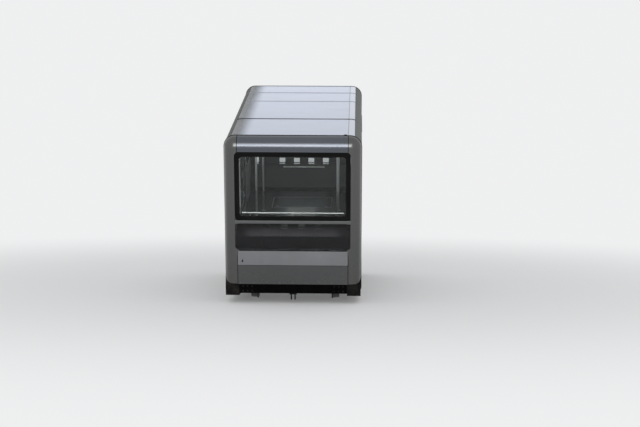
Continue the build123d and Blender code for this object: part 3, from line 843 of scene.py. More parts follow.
NODE_FINISHES: Dict[str, Finish] = {
    "corner_posts": BODY_PAINT,
    "roof_fairing": FAIRING_SKY_TINT_PAINT,
    "skirt_upper": UPPER_SKIRT_LIT_PAINT,
    "skirt_lower": LOWER_SKIRT_SHADED_PAINT,
    "side_wall": WALL_PAINT,
    "door_leaf": BODY_PAINT,
    "roof_panels": ROOF_PAINT,
    "window_surround": BORDER,
    "lower_glass_uphill": SMOKED,
    "lower_glass_downhill": SMOKED_FAR_LIT,
    "windscreen": GLASS,
    "side_panes": GLASS,
    "door_pane": GLASS,
    "body_seals": JOINTS,
    "end_strip": STRIP,
    "door_tracks": TRACK_METAL,
    "handrails": STAINLESS,
    "side_frame": CHASSIS,
    "cross_members": CHASSIS,
    "headstocks": END_BEAM_SHADE,
    "axleboxes": CHASSIS,
    "rope_clevis": CHASSIS,
    "equipment_cases": CASES,
    "track_brakes": IRON,
    "floor": FLOOR,
    "ceiling": CEILING,
    "ceiling_lights": DIFFUSER,
}


def dress_cad_nodes() -> None:
    """Give every carried-over node its finish, by the start of its name."""
    for name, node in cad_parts.items():
        if name.startswith("wheelset"):
            end = End.UPHILL if name.endswith("uphill") else End.DOWNHILL
            finish: Finish = RailSteel(f"wheel_steel_{end.tag}", "wheel_steel", end=end)
        else:
            key = max((k for k in NODE_FINISHES if name.startswith(k)), key=len)
            finish = NODE_FINISHES[key]
        node.data.materials.clear()
        node.data.materials.append(finish.material())


class Facing(Enum):
    """The way that a flat outline faces: the axes of its two directions and of its depth."""

    END = (0, 2, 1)
    SIDE = (1, 2, 0)
    FLAT = (0, 1, 2)

    def place(self, first: float, second: float, depth: float) -> Vector:
        """Return the place of an outline's point at a depth."""
        spot = Vector((0.0, 0.0, 0.0))
        for axis, value in zip(self.value, (first, second, depth)):
            spot[axis] = value
        return spot


def rounded(centre: Point, width: float, height: float, radius: float, steps: int = 5) -> List[Point]:
    """Return the outline of a rectangle with rounded corners.

    Args:
        centre: Its middle.
        width: Its first size.
        height: Its second size.
        radius: Its corners' radius.
        steps: Stretches in each corner.

    Returns:
        Its points, anticlockwise.
    """
    points = []
    for number, (right, up) in enumerate(((1, 1), (-1, 1), (-1, -1), (1, -1))):
        for step in range(steps + 1):
            angle = math.pi / 2 * (number + step / steps)
            points.append(
                (
                    centre[0] + right * (width / 2 - radius) + radius * math.cos(angle),
                    centre[1] + up * (height / 2 - radius) + radius * math.sin(angle),
                )
            )
    return points


def grown(centre: Point, size: Point, radius: float, lap: float) -> List[Point]:
    """Return the outline of a rounded rectangle that has grown by a lap on every side."""
    return rounded(centre, size[0] + 2 * lap, size[1] + 2 * lap, radius + lap, 8)


class Workpiece:
    """A piece in the making: closed forms gathered in one mesh, then dressed as one object."""

    def __init__(self, name: str, finish: Finish, body: str = "car", within: Optional[Matrix] = None) -> None:
        """Start an empty piece.

        Args:
            name: The object's name.
            finish: Its finish.
            body: The body that it rides on.
            within: Where its own axes stand, or those of the car.
        """
        self.name = name
        self.surface = finish
        self.body = body
        self.within = within or Matrix.Identity(4)
        self.mesh = bmesh.new()

    def _loop(self, places: Iterable[Vector]) -> List[bmesh.types.BMVert]:
        """Add a row of points."""
        return [self.mesh.verts.new(self.within @ place) for place in places]

    def _skin(self, first: Sequence, second: Sequence, closed: bool = True) -> None:
        """Join two rows of as many points with faces."""
        count = len(first)
        for number in range(count if closed else count - 1):
            after = (number + 1) % count
            self.mesh.faces.new((first[number], first[after], second[after], second[number]))

    def _close(self, rows: Sequence[Sequence]) -> None:
        """Join rings of points into a form that is closed at both ends."""
        for first, second in zip(rows, rows[1:]):
            self._skin(first, second)
        self.mesh.faces.new(rows[0])
        self.mesh.faces.new(rows[-1])

    def prism(
        self,
        facing: Facing,
        outline: Sequence[Point],
        low: float,
        high: float,
        hole: Optional[Sequence[Point]] = None,
    ) -> None:
        """Add a straight form on an outline.

        Args:
            facing: The way that the outline faces.
            outline: Its points.
            low: Where its depth starts.
            high: Where its depth ends.
            hole: A through opening's outline, with as many points.
        """
        ends = [self._loop(facing.place(u, v, w) for u, v in outline) for w in (low, high)]
        self._skin(*ends)
        if hole is None:
            for end in ends:
                self.mesh.faces.new(end)
            return
        inner = [self._loop(facing.place(u, v, w) for u, v in hole) for w in (low, high)]
        self._skin(inner[1], inner[0])
        self._skin(inner[0], ends[0])
        self._skin(ends[1], inner[1])

    def ribbon(
        self, facing: Facing, first: Sequence[Point], second: Sequence[Point], low: float, high: float
    ) -> None:
        """Add a band between two lines with as many points.

        Args:
            facing: The way that the lines face.
            first: One edge's points.
            second: The other edge's points.
            low: Where its depth starts.
            high: Where its depth ends.
        """
        rows = [
            self._loop(facing.place(u, v, w) for u, v in line)
            for line, w in ((first, low), (first, high), (second, high), (second, low))
        ]
        for number, row in enumerate(rows):
            self._skin(row, rows[(number + 1) % 4], closed=False)
        for tip in (0, -1):
            self.mesh.faces.new([row[tip] for row in rows])

    def block(self, low: Sequence[float], high: Sequence[float]) -> None:
        """Add a block between two corners."""
        outline = [(low[0], low[1]), (high[0], low[1]), (high[0], high[1]), (low[0], high[1])]
        self.prism(Facing.FLAT, outline, low[2], high[2])

    def turned(
        self, centre: Sequence[float], axis: Sequence[float], profile: Sequence[Point], sides: int = 24
    ) -> None:
        """Add a turned form.

        Args:
            centre: Where its axis starts.
            axis: The axis's direction.
            profile: Pairs of radius and height along the axis, from one closed end to the other.
            sides: Stretches round it.
        """
        turn = Vector((0, 0, 1)).rotation_difference(Vector(axis)).to_matrix()
        rows = []
        for radius, height in profile:
            ring = [
                Vector((radius * math.cos(angle), radius * math.sin(angle), height))
                for angle in (2 * math.pi * step / sides for step in range(sides))
            ]
            rows.append(self._loop(Vector(centre) + turn @ spot for spot in ring))
        self._close(rows)

    def tube(self, path: Sequence[Vector], radius: float, sides: int = 10) -> None:
        """Add a round bar along a path.

        Args:
            path: The middle line's points.
            radius: The bar's radius.
            sides: Stretches round it.
        """
        rows = []
        normal = Vector((1, 0, 0))
        for number, point in enumerate(path):
            before, after = path[max(number - 1, 0)], path[min(number + 1, len(path) - 1)]
            along = (after - before).normalized()
            if abs(along.dot(normal)) > 0.9:
                normal = Vector((0, 0, 1)) if abs(along.z) < 0.9 else Vector((0, 1, 0))
            normal = (normal - along * normal.dot(along)).normalized()
            across = along.cross(normal)
            angles = (2 * math.pi * step / sides for step in range(sides))
            rows.append(
                self._loop(point + radius * (normal * math.cos(a) + across * math.sin(a)) for a in angles)
            )
        self._close(rows)

    def screw(
        self, centre: Sequence[float], axis: Sequence[float], rim: Point, crown: Point, sides: int = 16
    ) -> None:
        """Add the low round head of a screw, or a button of that shape.

        Args:
            centre: Where the head starts.
            axis: The way out of the surface.
            rim: Its radius, and how high its straight edge reaches.
            crown: The radius of its flat top, and the top's height.
            sides: Stretches round it.
        """
        self.turned(centre, axis, [(rim[0], 0.0), rim, crown], sides)

    def bolt(self, centre: Sequence[float], axis: Sequence[float], size: float) -> None:
        """Add a hexagon bolt's head on its washer.

        Args:
            centre: Where the washer lies on the surface.
            axis: The way out of the surface.
            size: The head's radius.
        """
        washer, head = 0.16 * size, 0.6 * size
        self.turned(centre, axis, [(size * 1.3, -SUNK), (size * 1.3, washer * 0.7), (size * 1.2, washer)], 20)
        top = washer + head
        profile = [(size, washer * 0.5), (size, top - 0.12 * size), (size * 0.86, top)]
        self.turned(centre, axis, profile, 6)

    def done(self, bevel: float = 0.0, segments: int = 2) -> bpy.types.Object:
        """Turn the gathered forms into an object that rides on its body.

        Args:
            bevel: How far its edges are rounded.
            segments: Stretches in that rounding.

        Returns:
            The object.
        """
        bmesh.ops.recalc_face_normals(self.mesh, faces=self.mesh.faces)
        data = bpy.data.meshes.new(self.name)
        self.mesh.to_mesh(data)
        self.mesh.free()
        for polygon in data.polygons:
            polygon.use_smooth = True
        data.set_sharp_from_angle(angle=SHARP_TURN)
        data.materials.append(self.surface.material())
        made = bpy.data.objects.new(self.name, data)
        bpy.context.scene.collection.objects.link(made)
        if bevel:
            rounding = made.modifiers.new("edges", "BEVEL")
            rounding.width = bevel
            rounding.segments = segments
            rounding.limit_method = "ANGLE"
            rounding.angle_limit = SHARP_TURN
            rounding.harden_normals = True
        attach(made, self.body)
        LOG.info("%s: %d faces on %s", self.name, len(data.polygons), self.body)
        return made


@dataclass(frozen=True)
class Datum:
    """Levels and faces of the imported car, in metres, read from its nodes."""

    skirt: float
    roof: float
    floor: float
    ceiling: float
    half_width: float
    body_half: float
    half_length: float
    side_end: float
    inner: float
    door_head: float
    sole_foot: float
    track_rise: ClassVar[float] = 18 * MM
    sole_drop: ClassVar[float] = 141 * MM

    @classmethod
    def read(cls) -> "Datum":
        """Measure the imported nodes."""
        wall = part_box("side_wall_right")[1]
        track_low, track_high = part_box("door_tracks")
        posts_low, posts_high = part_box("corner_posts_uphill")
        return cls(
            skirt=posts_low.z,
            roof=posts_high.z,
            floor=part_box("floor")[1].z,
            ceiling=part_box("ceiling")[0].z,
            half_width=wall.x,
            body_half=posts_high.x,
            half_length=-posts_low.y,
            side_end=wall.y,
            inner=track_high.x,
            door_head=track_low.z - cls.track_rise,
            sole_foot=posts_low.z - cls.sole_drop,
        )

    def rail(self, y: float) -> float:
        """Return the height of the rail tops at a place along the track."""
        return -TRACK_SLOPE * y


DATUM = Datum.read()


def spaced(count: int, step: float) -> List[float]:
    """Return places spaced evenly about 0."""
    return [(number - (count - 1) / 2) * step for number in range(count)]


def circle(centre: Point, radius: float, count: int) -> List[Point]:
    """Return points spaced evenly on a circle."""
    angles = (2 * math.pi * number / count for number in range(count))
    return [(centre[0] + radius * math.cos(a), centre[1] + radius * math.sin(a)) for a in angles]


@dataclass
class EndPlace:
    """One end of the car, which the trims outside it and inside it share."""

    end: End

    def _out(self, reach: float) -> float:
        """Return the place along Y that stands a reach out of the end's face."""
        return self.end.value * (DATUM.half_length + reach)

    def _spans(self, first: float, second: float) -> List[float]:
        """Return two reaches out of the end's face as places along Y, in order."""
        return self.end.span(DATUM.half_length + first, DATUM.half_length + second)


@dataclass
class EndTrim(EndPlace):
    """Outer pieces of one end: gasket, seals, the strip's caps, lock, screws and joint cover."""

    seam_x: float = 0.98
    seal_width: float = 11 * MM
    seal_head: float = 0.53
    gasket_width: float = 9 * MM
    gasket_proud: float = 2.5 * MM
    corner_radius: float = 62 * MM
    cap_width: float = 62 * MM
    cap_inset: float = 30 * MM
    lock_place: Point = (-0.9, 0.43)
    lock_radius: float = 17 * MM
    vent_rise: float = 26 * MM
    upper_foot: float = 35 * MM
    upper_lean: Point = (45 * MM, 258 * MM)
    lower_foot: float = 22 * MM
    lower_lean: Point = (13 * MM, 354 * MM)
    screw_count: int = 9
    screw_step: float = 0.235
    screw_rise: float = 28 * MM
    cover_span: Point = (-1 * MM, 17 * MM)
    cover_reaches: Point = (8.4 * MM, -7.5 * MM)
    cover_foot: float = 82 * MM
    shoulder: float = 0.2
    shoulder_steps: int = 12

    def build(self) -> None:
        """Build the end's outer pieces."""
        self._gasket()
        self._skirt_seals()
        self._strip_caps()
        self._lock()
        self._skirt_screws()
        self._ring_cover()
        self._glass_foot()

    def _gasket(self) -> None:
        """Lay the rubber line between the window's pane and its border."""
        low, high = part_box(f"windscreen_{self.end.tag}")
        middle, size = (0.0, (low.z + high.z) / 2), (high.x - low.x, high.z - low.z)
        piece = Workpiece(f"window_gasket_{self.end.tag}", SEAL)
        lap = self.gasket_width / 3
        outer = grown(middle, size, self.corner_radius, lap)
        inner = grown(middle, size, self.corner_radius, lap - self.gasket_width)
        piece.prism(Facing.END, outer, *self._spans(-4 * MM, self.gasket_proud), hole=inner)
        piece.done(1.2 * MM)

    def _skirt_seals(self) -> None:
        """Stand a rubber strip beside each edge of the skirts, on the corner posts."""
        upper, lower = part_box(f"skirt_upper_{self.end.tag}"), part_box(f"skirt_lower_{self.end.tag}")
        crease_out = abs(max(abs(lower[0].y), abs(lower[1].y)) - DATUM.half_length) - 5 * MM
        foot, head = DATUM.skirt + 2 * MM, DATUM.skirt + self.seal_head
        profile = [
            (self._out(-8 * MM), foot),
            (self._out(17 * MM), foot),
            (self._out(crease_out), lower[1].z),
            (self._out(crease_out), upper[0].z),
            (self._out(0.5 * MM), head),
            (self._out(-8 * MM), head),
        ]
        for side in Side:
            piece = Workpiece(f"skirt_seal_{self.end.tag}_{side.tag}", SEAL)
            spans = side.span(self.seam_x - 1 * MM, self.seam_x + self.seal_width)
            piece.prism(Facing.SIDE, profile, *spans)
            piece.done(1.5 * MM)

    def _strip_caps(self) -> None:
        """Cap both ends of the strip under the window, each with its screw."""
        low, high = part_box(f"end_strip_{self.end.tag}")
        out = max(abs(low.y), abs(high.y)) - DATUM.half_length
        height = high.z - low.z + 1.6 * MM
        for side in Side:
            piece = Workpiece(f"strip_cap_{self.end.tag}_{side.tag}", CAP)
            middle = (side.value * (high.x - self.cap_inset), (low.z + high.z) / 2)
            outer = rounded(middle, self.cap_width, height, 6 * MM, 4)
            piece.prism(Facing.END, outer, *self._spans(-20 * MM, out - 0.4 * MM))
            spot = (middle[0], self._out(out - 1.2 * MM), middle[1])
            piece.screw(spot, (0, self.end.value, 0), (9 * MM, 0.6 * MM), (5 * MM, 1.1 * MM), 24)
            piece.done(1.5 * MM)

    def _lock(self) -> None:
        """Set the skirt's square-key lock near the edge of its upper panel, with a vent over it."""
        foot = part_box(f"skirt_upper_{self.end.tag}")[0].z
        tilt = math.atan2(*self.upper_lean)
        x, height = self.lock_place[0], DATUM.skirt + self.lock_place[1]
        place = (x, self._out(self.upper_foot - (height - foot) * math.tan(tilt)), height)
        axis = (0, self.end.value * math.cos(tilt), math.sin(tilt))
        piece = Workpiece(f"skirt_lock_{self.end.tag}", SEAL)
        radius = self.lock_radius
        profile = [(radius, -2 * MM), (radius, 2.4 * MM), (radius * 0.8, 3.4 * MM), (radius * 0.6, 1.2 * MM)]
        piece.turned(place, axis, profile, 28)
        piece.turned(place, axis, [(6 * MM, -2 * MM), (6 * MM, 4 * MM)], 4)
        piece.done(0.5 * MM)
        plug = Workpiece(f"skirt_vent_{self.end.tag}", SEAL)
        above = Vector(place) + Vector((0, -self.end.value * math.tan(tilt), 1)) * self.vent_rise
        plug.turned(above, axis, [(8 * MM, -2 * MM), (8 * MM, 1.6 * MM), (6 * MM, 2.2 * MM)], 20)
        plug.done()

    def _skirt_screws(self) -> None:
        """Fasten the lower skirt with a row of flat screws along its foot."""
        piece = Workpiece(f"skirt_screws_{self.end.tag}", CAP)
        out = self.lower_foot + self.screw_rise * self.lower_lean[0] / self.lower_lean[1]
        for x in spaced(self.screw_count, self.screw_step):
            spot = (x, self._out(out - 0.6 * MM), DATUM.skirt + self.screw_rise)
            piece.screw(spot, (0, self.end.value, 0), (6.5 * MM, 1.6 * MM), (4.5 * MM, 2.4 * MM))
        piece.done()

    def _ring_cover(self) -> None:
        """Lay the cover strip over the joint behind the end moulding, up one side and down the other."""
        piece = Workpiece(f"ring_cover_{self.end.tag}", SEAL)
        near, far = self.end.span(*(DATUM.side_end + reach for reach in self.cover_span))
        outer, inner = (self._arch(reach) for reach in self.cover_reaches)
        piece.ribbon(Facing.END, outer, inner, near, far)
        piece.done(1.5 * MM)

    def _arch(self, reach: float) -> List[Point]:
        """Return the body's outline from foot over the roof to foot, a reach outside its skin."""
        middle = (DATUM.body_half - self.shoulder, DATUM.roof - self.shoulder)
        radius = self.shoulder + reach
        right = []
        for step in range(self.shoulder_steps + 1):
            angle = math.pi / 2 * (1 - step / self.shoulder_steps)
            right.append((middle[0] + radius * math.cos(angle), middle[1] + radius * math.sin(angle)))
        right.append((DATUM.body_half + reach, DATUM.skirt + self.cover_foot))
        return [(-x, z) for x, z in reversed(right)] + right

    def _glass_foot(self) -> None:
        """Close the joint under the smoked glass with a rubber strip."""
        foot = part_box(f"lower_glass_{self.end.tag}")[0].z
        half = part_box(f"skirt_upper_{self.end.tag}")[1].x - 14 * MM
        piece = Workpiece(f"glass_foot_seal_{self.end.tag}", BORDER)
        profile = [
            (self._out(-34 * MM), foot - 0.5 * MM),
            (self._out(-34 * MM), foot - 9 * MM),
            (self._out(-9 * MM), foot - 17 * MM),
            (self._out(-5.6 * MM), foot - 17 * MM),
            (self._out(-7.5 * MM), foot - 0.5 * MM),
        ]
        piece.prism(Facing.SIDE, profile, -half, half)
        piece.done(1.0 * MM)


@dataclass
class CabTrim(EndPlace):
    """Inner pieces of one end, seen through glass: uprights, console, rails' fittings and floor hatch."""

    upright_width: float = 185 * MM
    upright_count: int = 5
    upright_step: float = 0.31
    upright_reaches: Point = (-118 * MM, -62 * MM)
    corner_upright: Point = (0.69, 0.97)
    console_half: float = 1.02
    console_top: float = 0.985
    console_reaches: Point = (-150 * MM, -121 * MM)
    shelf_reaches: Point = (-158 * MM, -119 * MM)
    shelf_thickness: float = 20 * MM
    edge_half: float = 0.44
    edge_height: float = 21 * MM
    edge_drop: float = 46 * MM
    edge_reaches: Point = (-186 * MM, -149.7 * MM)
    plinth_reaches: Point = (-154 * MM, -149 * MM)
    plinth_height: float = 90 * MM
    guard_half: float = 1.0
    guard_reach: float = -146 * MM
    guard_rise: float = 32 * MM
    guard_posts: int = 5
    guard_step: float = 0.48
    handrail_reach: float = -110 * MM
    handrail_rise: float = 1.29
    hatch_middle: float = 1.62
    hatch_size: Point = (1.24, 0.86)
    hatch_frame: float = 20 * MM
    hatch_locks: Point = (1.0, 0.66)

    def build(self) -> None:
        """Build the end's inner pieces."""
        self._uprights()
        self._console()
        self._guard_rail()
        self._rail_clamp()
        self._floor_hatch()

    def _slab(self, piece: Workpiece, half: float, reaches: Point, low: float, high: float) -> None:
        """Add a block that lies across the end.

        Args:
            piece: The piece that gets it.
            half: Half its length along X.
            reaches: Its two faces, as reaches out of the end's face.
            low: Its foot.
            high: Its top.
        """
        near, far = self._spans(*reaches)
        piece.block((-half, near, low), (half, far, high))

    def _uprights(self) -> None:
        """Stand the end frame's uprights behind the smoked glass."""
        piece = Workpiece(f"end_uprights_{self.end.tag}", UPRIGHT)
        foot, top = DATUM.floor - SUNK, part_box(f"end_strip_{self.end.tag}")[0].z - 2 * MM
        near, far = self._spans(*self.upright_reaches)
        half = self.upright_width / 2
        for x in spaced(self.upright_count, self.upright_step):
            piece.block((x - half, near, foot), (x + half, far, top))
        for side in Side:
            low, high = side.span(*self.corner_upright)
            piece.block((low, near, foot), (high, far, top))
        self._slab(piece, self.corner_upright[1], self.upright_reaches, top - 6 * MM, top + 30 * MM)
        piece.done(4 * MM, 3)

    def _console(self) -> None:
        """Close the lower part of the end inside with a low console, its flat top and its rub rail."""
        foot, top = DATUM.floor - SUNK, DATUM.skirt + self.console_top
        piece = Workpiece(f"end_console_{self.end.tag}", CONSOLE)
        self._slab(piece, self.console_half, self.console_reaches, foot, top - self.shelf_thickness)
        self._slab(piece, self.console_half, self.shelf_reaches, top - self.shelf_thickness, top)
        piece.done(4 * MM, 3)
        # The rub rail is pale only at the downhill end, as a painted highlight; at the uphill end it keeps
        # the console's dark colour.
        shade = CONSOLE_EDGE_HIGHLIGHT if self.end is End.DOWNHILL else CONSOLE
        edge = Workpiece(f"console_edge_{self.end.tag}", shade)
        head = top - self.edge_drop
        self._slab(edge, self.edge_half, self.edge_reaches, head - self.edge_height, head)
        edge.done(1.5 * MM)
        plinth = Workpiece(f"console_plinth_{self.end.tag}", SEAL)
        self._slab(plinth, self.console_half, self.plinth_reaches, foot, DATUM.floor + self.plinth_height)
        plinth.done(1.5 * MM)

    def _guard_rail(self) -> None:
        """Fit the low guard rail that runs across behind the smoked glass."""
        piece = Workpiece(f"guard_rail_{self.end.tag}", UPRIGHT)
        foot = DATUM.skirt + self.console_top
        y, z = self._out(self.guard_reach), foot + self.guard_rise
        piece.tube([Vector((x, y, z)) for x in (-self.guard_half, self.guard_half)], 9 * MM, 14)
        for x in spaced(self.guard_posts, self.guard_step):
            piece.tube([Vector((x, y, foot - 2 * MM)), Vector((x, y, z))], 6 * MM)
        piece.done()

    def _rail_clamp(self) -> None:
        """Clamp the end's handrail in its middle, on a stay from the window's lower edge."""
        piece = Workpiece(f"handrail_clamp_{self.end.tag}", STAINLESS)
        y, z = self._out(self.handrail_reach), DATUM.skirt + self.handrail_rise
        sleeve = [(19 * MM, -28 * MM), (23 * MM, -25 * MM), (23 * MM, 25 * MM), (19 * MM, 28 * MM)]
        piece.turned((0, y, z), (1, 0, 0), sleeve, 28)
        piece.tube([Vector((0, y, z)), Vector((0, self._out(-66 * MM), z - 18 * MM))], 9 * MM, 16)
        foot = (0, self._out(-70 * MM), z - 17 * MM)
        piece.turned(foot, (0, self.end.value, 0), [(26 * MM, 0), (26 * MM, 9 * MM)], 28)
        piece.bolt((0, y - self.end.value * 22 * MM, z), (0, -self.end.value, 0), 7 * MM)
        piece.done(1.2 * MM)

    def _floor_hatch(self) -> None:
        """Frame the floor's service hatch on this half of the car, with its turn locks."""
        piece = Workpiece(f"floor_hatch_frame_{self.end.tag}", TRACK_METAL)
        middle = (0.0, self.end.value * self.hatch_middle)
        width, length = self.hatch_size
        outer = rounded(middle, width, length, 22 * MM, 5)
        inner = rounded(middle, width - 2 * self.hatch_frame, length - 2 * self.hatch_frame, 4 * MM, 5)
        piece.prism(Facing.FLAT, outer, DATUM.floor - SUNK, DATUM.floor + 2.2 * MM, hole=inner)
        piece.done(0.6 * MM, 1)
        locks = Workpiece(f"floor_hatch_locks_{self.end.tag}", STAINLESS)
        for x in spaced(2, self.hatch_locks[0]):
            for y in spaced(2, self.hatch_locks[1]):
                spot = (x, middle[1] + y, DATUM.floor - SUNK)
                locks.screw(spot, (0, 0, 1), (20 * MM, 1.6 * MM), (8 * MM, 2.0 * MM), 24)
        locks.done()


@dataclass
class SeamSealant:
    """Sealant in the two long seams: dark on the end mouldings, pale and nearly flush on the roof."""

    seam_x: float = 0.98
    bead: float = 4.6 * MM
    sunk: float = 6.2 * MM
    roof_sunk: float = 6.2 * MM
    corner: float = 0.19
    steps: int = 12

    def build(self) -> None:
        """Build the beads of both seams."""
        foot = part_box("window_surround_uphill")[1].z + 4 * MM
        for side in Side:
            x = side.value * self.seam_x
            for end in End:
                dark = Workpiece(f"seam_sealant_{side.tag}_{end.tag}", SEAL)
                dark.tube([Vector((x, end.value * y, z)) for y, z in self._line(foot)], self.bead, 8)
                dark.done()
            pale = Workpiece(f"roof_sealant_{side.tag}", ROOF_SEALANT)
            reach, z = DATUM.side_end - 2 * MM, DATUM.roof - self.roof_sunk
            pale.tube([Vector((x, -reach, z)), Vector((x, reach, z))], self.bead, 8)
            pale.done()

    def _line(self, foot: float) -> List[Point]:
        """Return one end's path in Y and Z, from a foot at the window's head over the roll."""
        middle_y, middle_z = DATUM.half_length - self.corner, DATUM.roof - self.corner
        reach = self.corner - self.sunk
        line = [(DATUM.half_length - self.sunk, foot)]
        for step in range(self.steps + 1):
            angle = math.pi / 2 * step / self.steps
            line.append((middle_y + reach * math.cos(angle), middle_z + reach * math.sin(angle)))
        return line


@dataclass
class RoofTrim:
    """What stands on the roof: a small cable gland near one corner."""

    gland: Point = (0.93, -2.44)
    plate: Point = (58 * MM, 46 * MM)

    def build(self) -> None:
        """Build the gland."""
        piece = Workpiece("roof_gland", SEAL)
        x, y = self.gland
        outline = rounded((x, y), *self.plate, 14 * MM)
        piece.prism(Facing.FLAT, outline, DATUM.roof - SUNK, DATUM.roof + 5 * MM)
        spot = (x, y, DATUM.roof + 4 * MM)
        piece.screw(spot, (0, 0, 1), (20 * MM, 3 * MM), (13 * MM, 4.6 * MM), 24)
        piece.done(1.5 * MM)


@dataclass
class SideTrim:
    """One side wall's small pieces: window gaskets and what stands round the doorway."""

    side: Side
    door_half: float = 0.75
    frame_thickness: float = 4 * MM
    frame_lip: float = 20 * MM
    pane_length: float = 1.2994
    pane_corner: float = 70 * MM
    gasket_out: float = 11 * MM
    gasket_in: float = 13 * MM
    gutter_reach: float = 11 * MM
    gutter_rise: float = 52 * MM
    gutter_past: float = 0.09
    button_place: Point = (0.855, 1.02)
    sill_ribs: int = 7
    sill_nose: float = 8 * MM
    sill_apron: float = 24 * MM
    sill_top: float = 2.6 * MM
    rib_top: float = 4 * MM
    cover_in: float = 66 * MM
    cover_depth: float = 52 * MM
    cover_sheet: float = 4 * MM
    cover_screws: int = 9
    screw_inset: float = 0.1
    strip_inset: Point = (0.2, 0.07)
    strip_ribs: int = 8
    strip_pitch: float = 15 * MM
    strip_rib: float = 7 * MM

    def build(self) -> None:
        """Build the side's pieces."""
        self._gaskets()
        self._door_frame()
        self._sill()
        self._gutter()
        self._button()
        self._drive_cover()
        self._floor_strip()

    def _gaskets(self) -> None:
        """Lay a rubber frame round each side window, outside and inside."""
        low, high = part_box(f"side_panes_{self.side.tag}")
        outside = self.side.span(DATUM.half_width - SUNK, DATUM.half_width + 4 * MM)
        inside = self.side.span(DATUM.inner - 1 * MM, DATUM.inner + SUNK)
        size = (self.pane_length, high.z - low.z)
        for end in End:
            middle = (end.value * (high.y - self.pane_length / 2), (low.z + high.z) / 2)
            piece = Workpiece(f"side_gasket_{self.side.tag}_{end.tag}", SEAL)
            outer = grown(middle, size, self.pane_corner, self.gasket_out)
            inner = grown(middle, size, self.pane_corner, -self.gasket_in)
            for spans in (outside, inside):
                piece.prism(Facing.SIDE, outer, *spans, hole=inner)
            piece.done(1.6 * MM)

    def _door_frame(self) -> None:
        """Line the doorway with a folded metal frame."""
        low, high = DATUM.floor, DATUM.door_head
        half, wall = self.door_half, self.frame_thickness
        piece = Workpiece(f"door_frame_{self.side.tag}", TRACK_METAL)

        def portal(width: float, head: float) -> List[Point]:
            """Return a portal's outline with its foot at the floor."""
            return [(-width, low), (width, low), (width, head), (-width, head)]

        for reach, spans in (
            (0.0, self.side.span(DATUM.inner + 1 * MM, DATUM.half_width + 3 * MM)),
            (self.frame_lip, self.side.span(DATUM.half_width - SUNK, DATUM.half_width + 3 * MM)),
        ):
            outer, inner = portal(half + reach, high + reach), portal(half - wall, high - wall)
            legs = [
                [outer[0], inner[0], inner[3], outer[3]],
                [inner[1], outer[1], outer[2], inner[2]],
                [inner[3], inner[2], outer[2], outer[3]],
            ]
            for leg in legs:
                piece.prism(Facing.SIDE, leg, *spans)
        piece.done(1.0 * MM)

    def _sill(self) -> None:
        """Lay the ribbed tread on the doorway's sill, inside the wall's thickness."""
        piece = Workpiece(f"door_sill_{self.side.tag}", TRACK_METAL)
        half = self.door_half - self.frame_thickness
        start, end = DATUM.inner + 1 * MM, DATUM.half_width + self.sill_nose
        top = DATUM.floor + self.sill_top
        low, high = self.side.span(start, end)
        piece.block((low, -half, DATUM.floor - SUNK), (high, half, top))
        low, high = self.side.span(end - 4 * MM, end)
        piece.block((low, -half, DATUM.floor - self.sill_apron), (high, half, top))
        step = (end - start - 8 * MM) / self.sill_ribs
        reach = half - 6 * MM
        for rib in range(self.sill_ribs):
            near = start + 4 * MM + rib * step
            low, high = self.side.span(near, near + step / 2)
            piece.block((low, -reach, DATUM.floor + 2 * MM), (high, reach, DATUM.floor + self.rib_top))
        piece.done(0.5 * MM, 1)

    def _gutter(self) -> None:
        """Hang the rain strip over the doorway."""
        piece = Workpiece(f"rain_strip_{self.side.tag}", BODY_PAINT)
        z, wall = DATUM.door_head + self.gutter_rise, DATUM.half_width - SUNK
        reach = DATUM.half_width + self.gutter_reach
        profile = [
            (wall, z),
            (reach, z - 9 * MM),
            (reach, z + 3 * MM),
            (reach - 3 * MM, z + 3 * MM),
            (reach - 4 * MM, z - 3 * MM),
            (wall, z + 9 * MM),
        ]
        outline = [(self.side.value * x, height) for x, height in profile]
        half = self.door_half + self.gutter_past
        piece.prism(Facing.END, outline, -half, half)
        piece.done(1.0 * MM)

    def _button(self) -> None:
        """Set a call button with its collar beside the doorway."""
        y, height = self.button_place
        centre = (self.side.value * (DATUM.half_width - SUNK), -y, DATUM.floor + height)
        axis = (self.side.value, 0, 0)
        collar = Workpiece(f"call_button_collar_{self.side.tag}", SEAL)
        profile = [(37 * MM, 0), (37 * MM, 4 * MM), (33 * MM, 7 * MM), (26 * MM, 7 * MM), (25 * MM, 4 * MM)]
        collar.turned(centre, axis, profile, 36)
        collar.done(0.6 * MM)
        button = Workpiece(f"call_button_{self.side.tag}", STAINLESS)
        profile = [(22 * MM, 3 * MM), (22 * MM, 6.5 * MM), (18 * MM, 8 * MM), (6 * MM, 7 * MM)]
        button.turned(centre, axis, profile, 36)
        button.done(0.6 * MM)

    def _drive_cover(self) -> None:
        """Hang the cover of the door drive in front of its channel, with its screws."""
        low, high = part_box("door_tracks")
        piece = Workpiece(f"door_drive_cover_{self.side.tag}", LINING)
        near, sheet = DATUM.inner - self.cover_in, self.cover_sheet
        foot, top = low.z - 6 * MM, DATUM.ceiling + SUNK
        profile = [
            (near, foot),
            (near + sheet, foot),
            (near + sheet, top),
            (near - self.cover_depth, top),
            (near - self.cover_depth, top - sheet),
            (near, top - 70 * MM),
        ]
        outline = [(self.side.value * x, z) for x, z in profile]
        piece.prism(Facing.END, outline, low.y, high.y)
        piece.done(1.5 * MM)
        screws = Workpiece(f"drive_cover_screws_{self.side.tag}", STAINLESS)
        pitch = (high.y - low.y - 2 * self.screw_inset) / (self.cover_screws - 1)
        for y in spaced(self.cover_screws, pitch):
            spot = (self.side.value * (near + SUNK), (low.y + high.y) / 2 + y, low.z + 22 * MM)
            screws.screw(spot, (-self.side.value, 0, 0), (6 * MM, 1.6 * MM), (3.6 * MM, 2.6 * MM))
        screws.done()

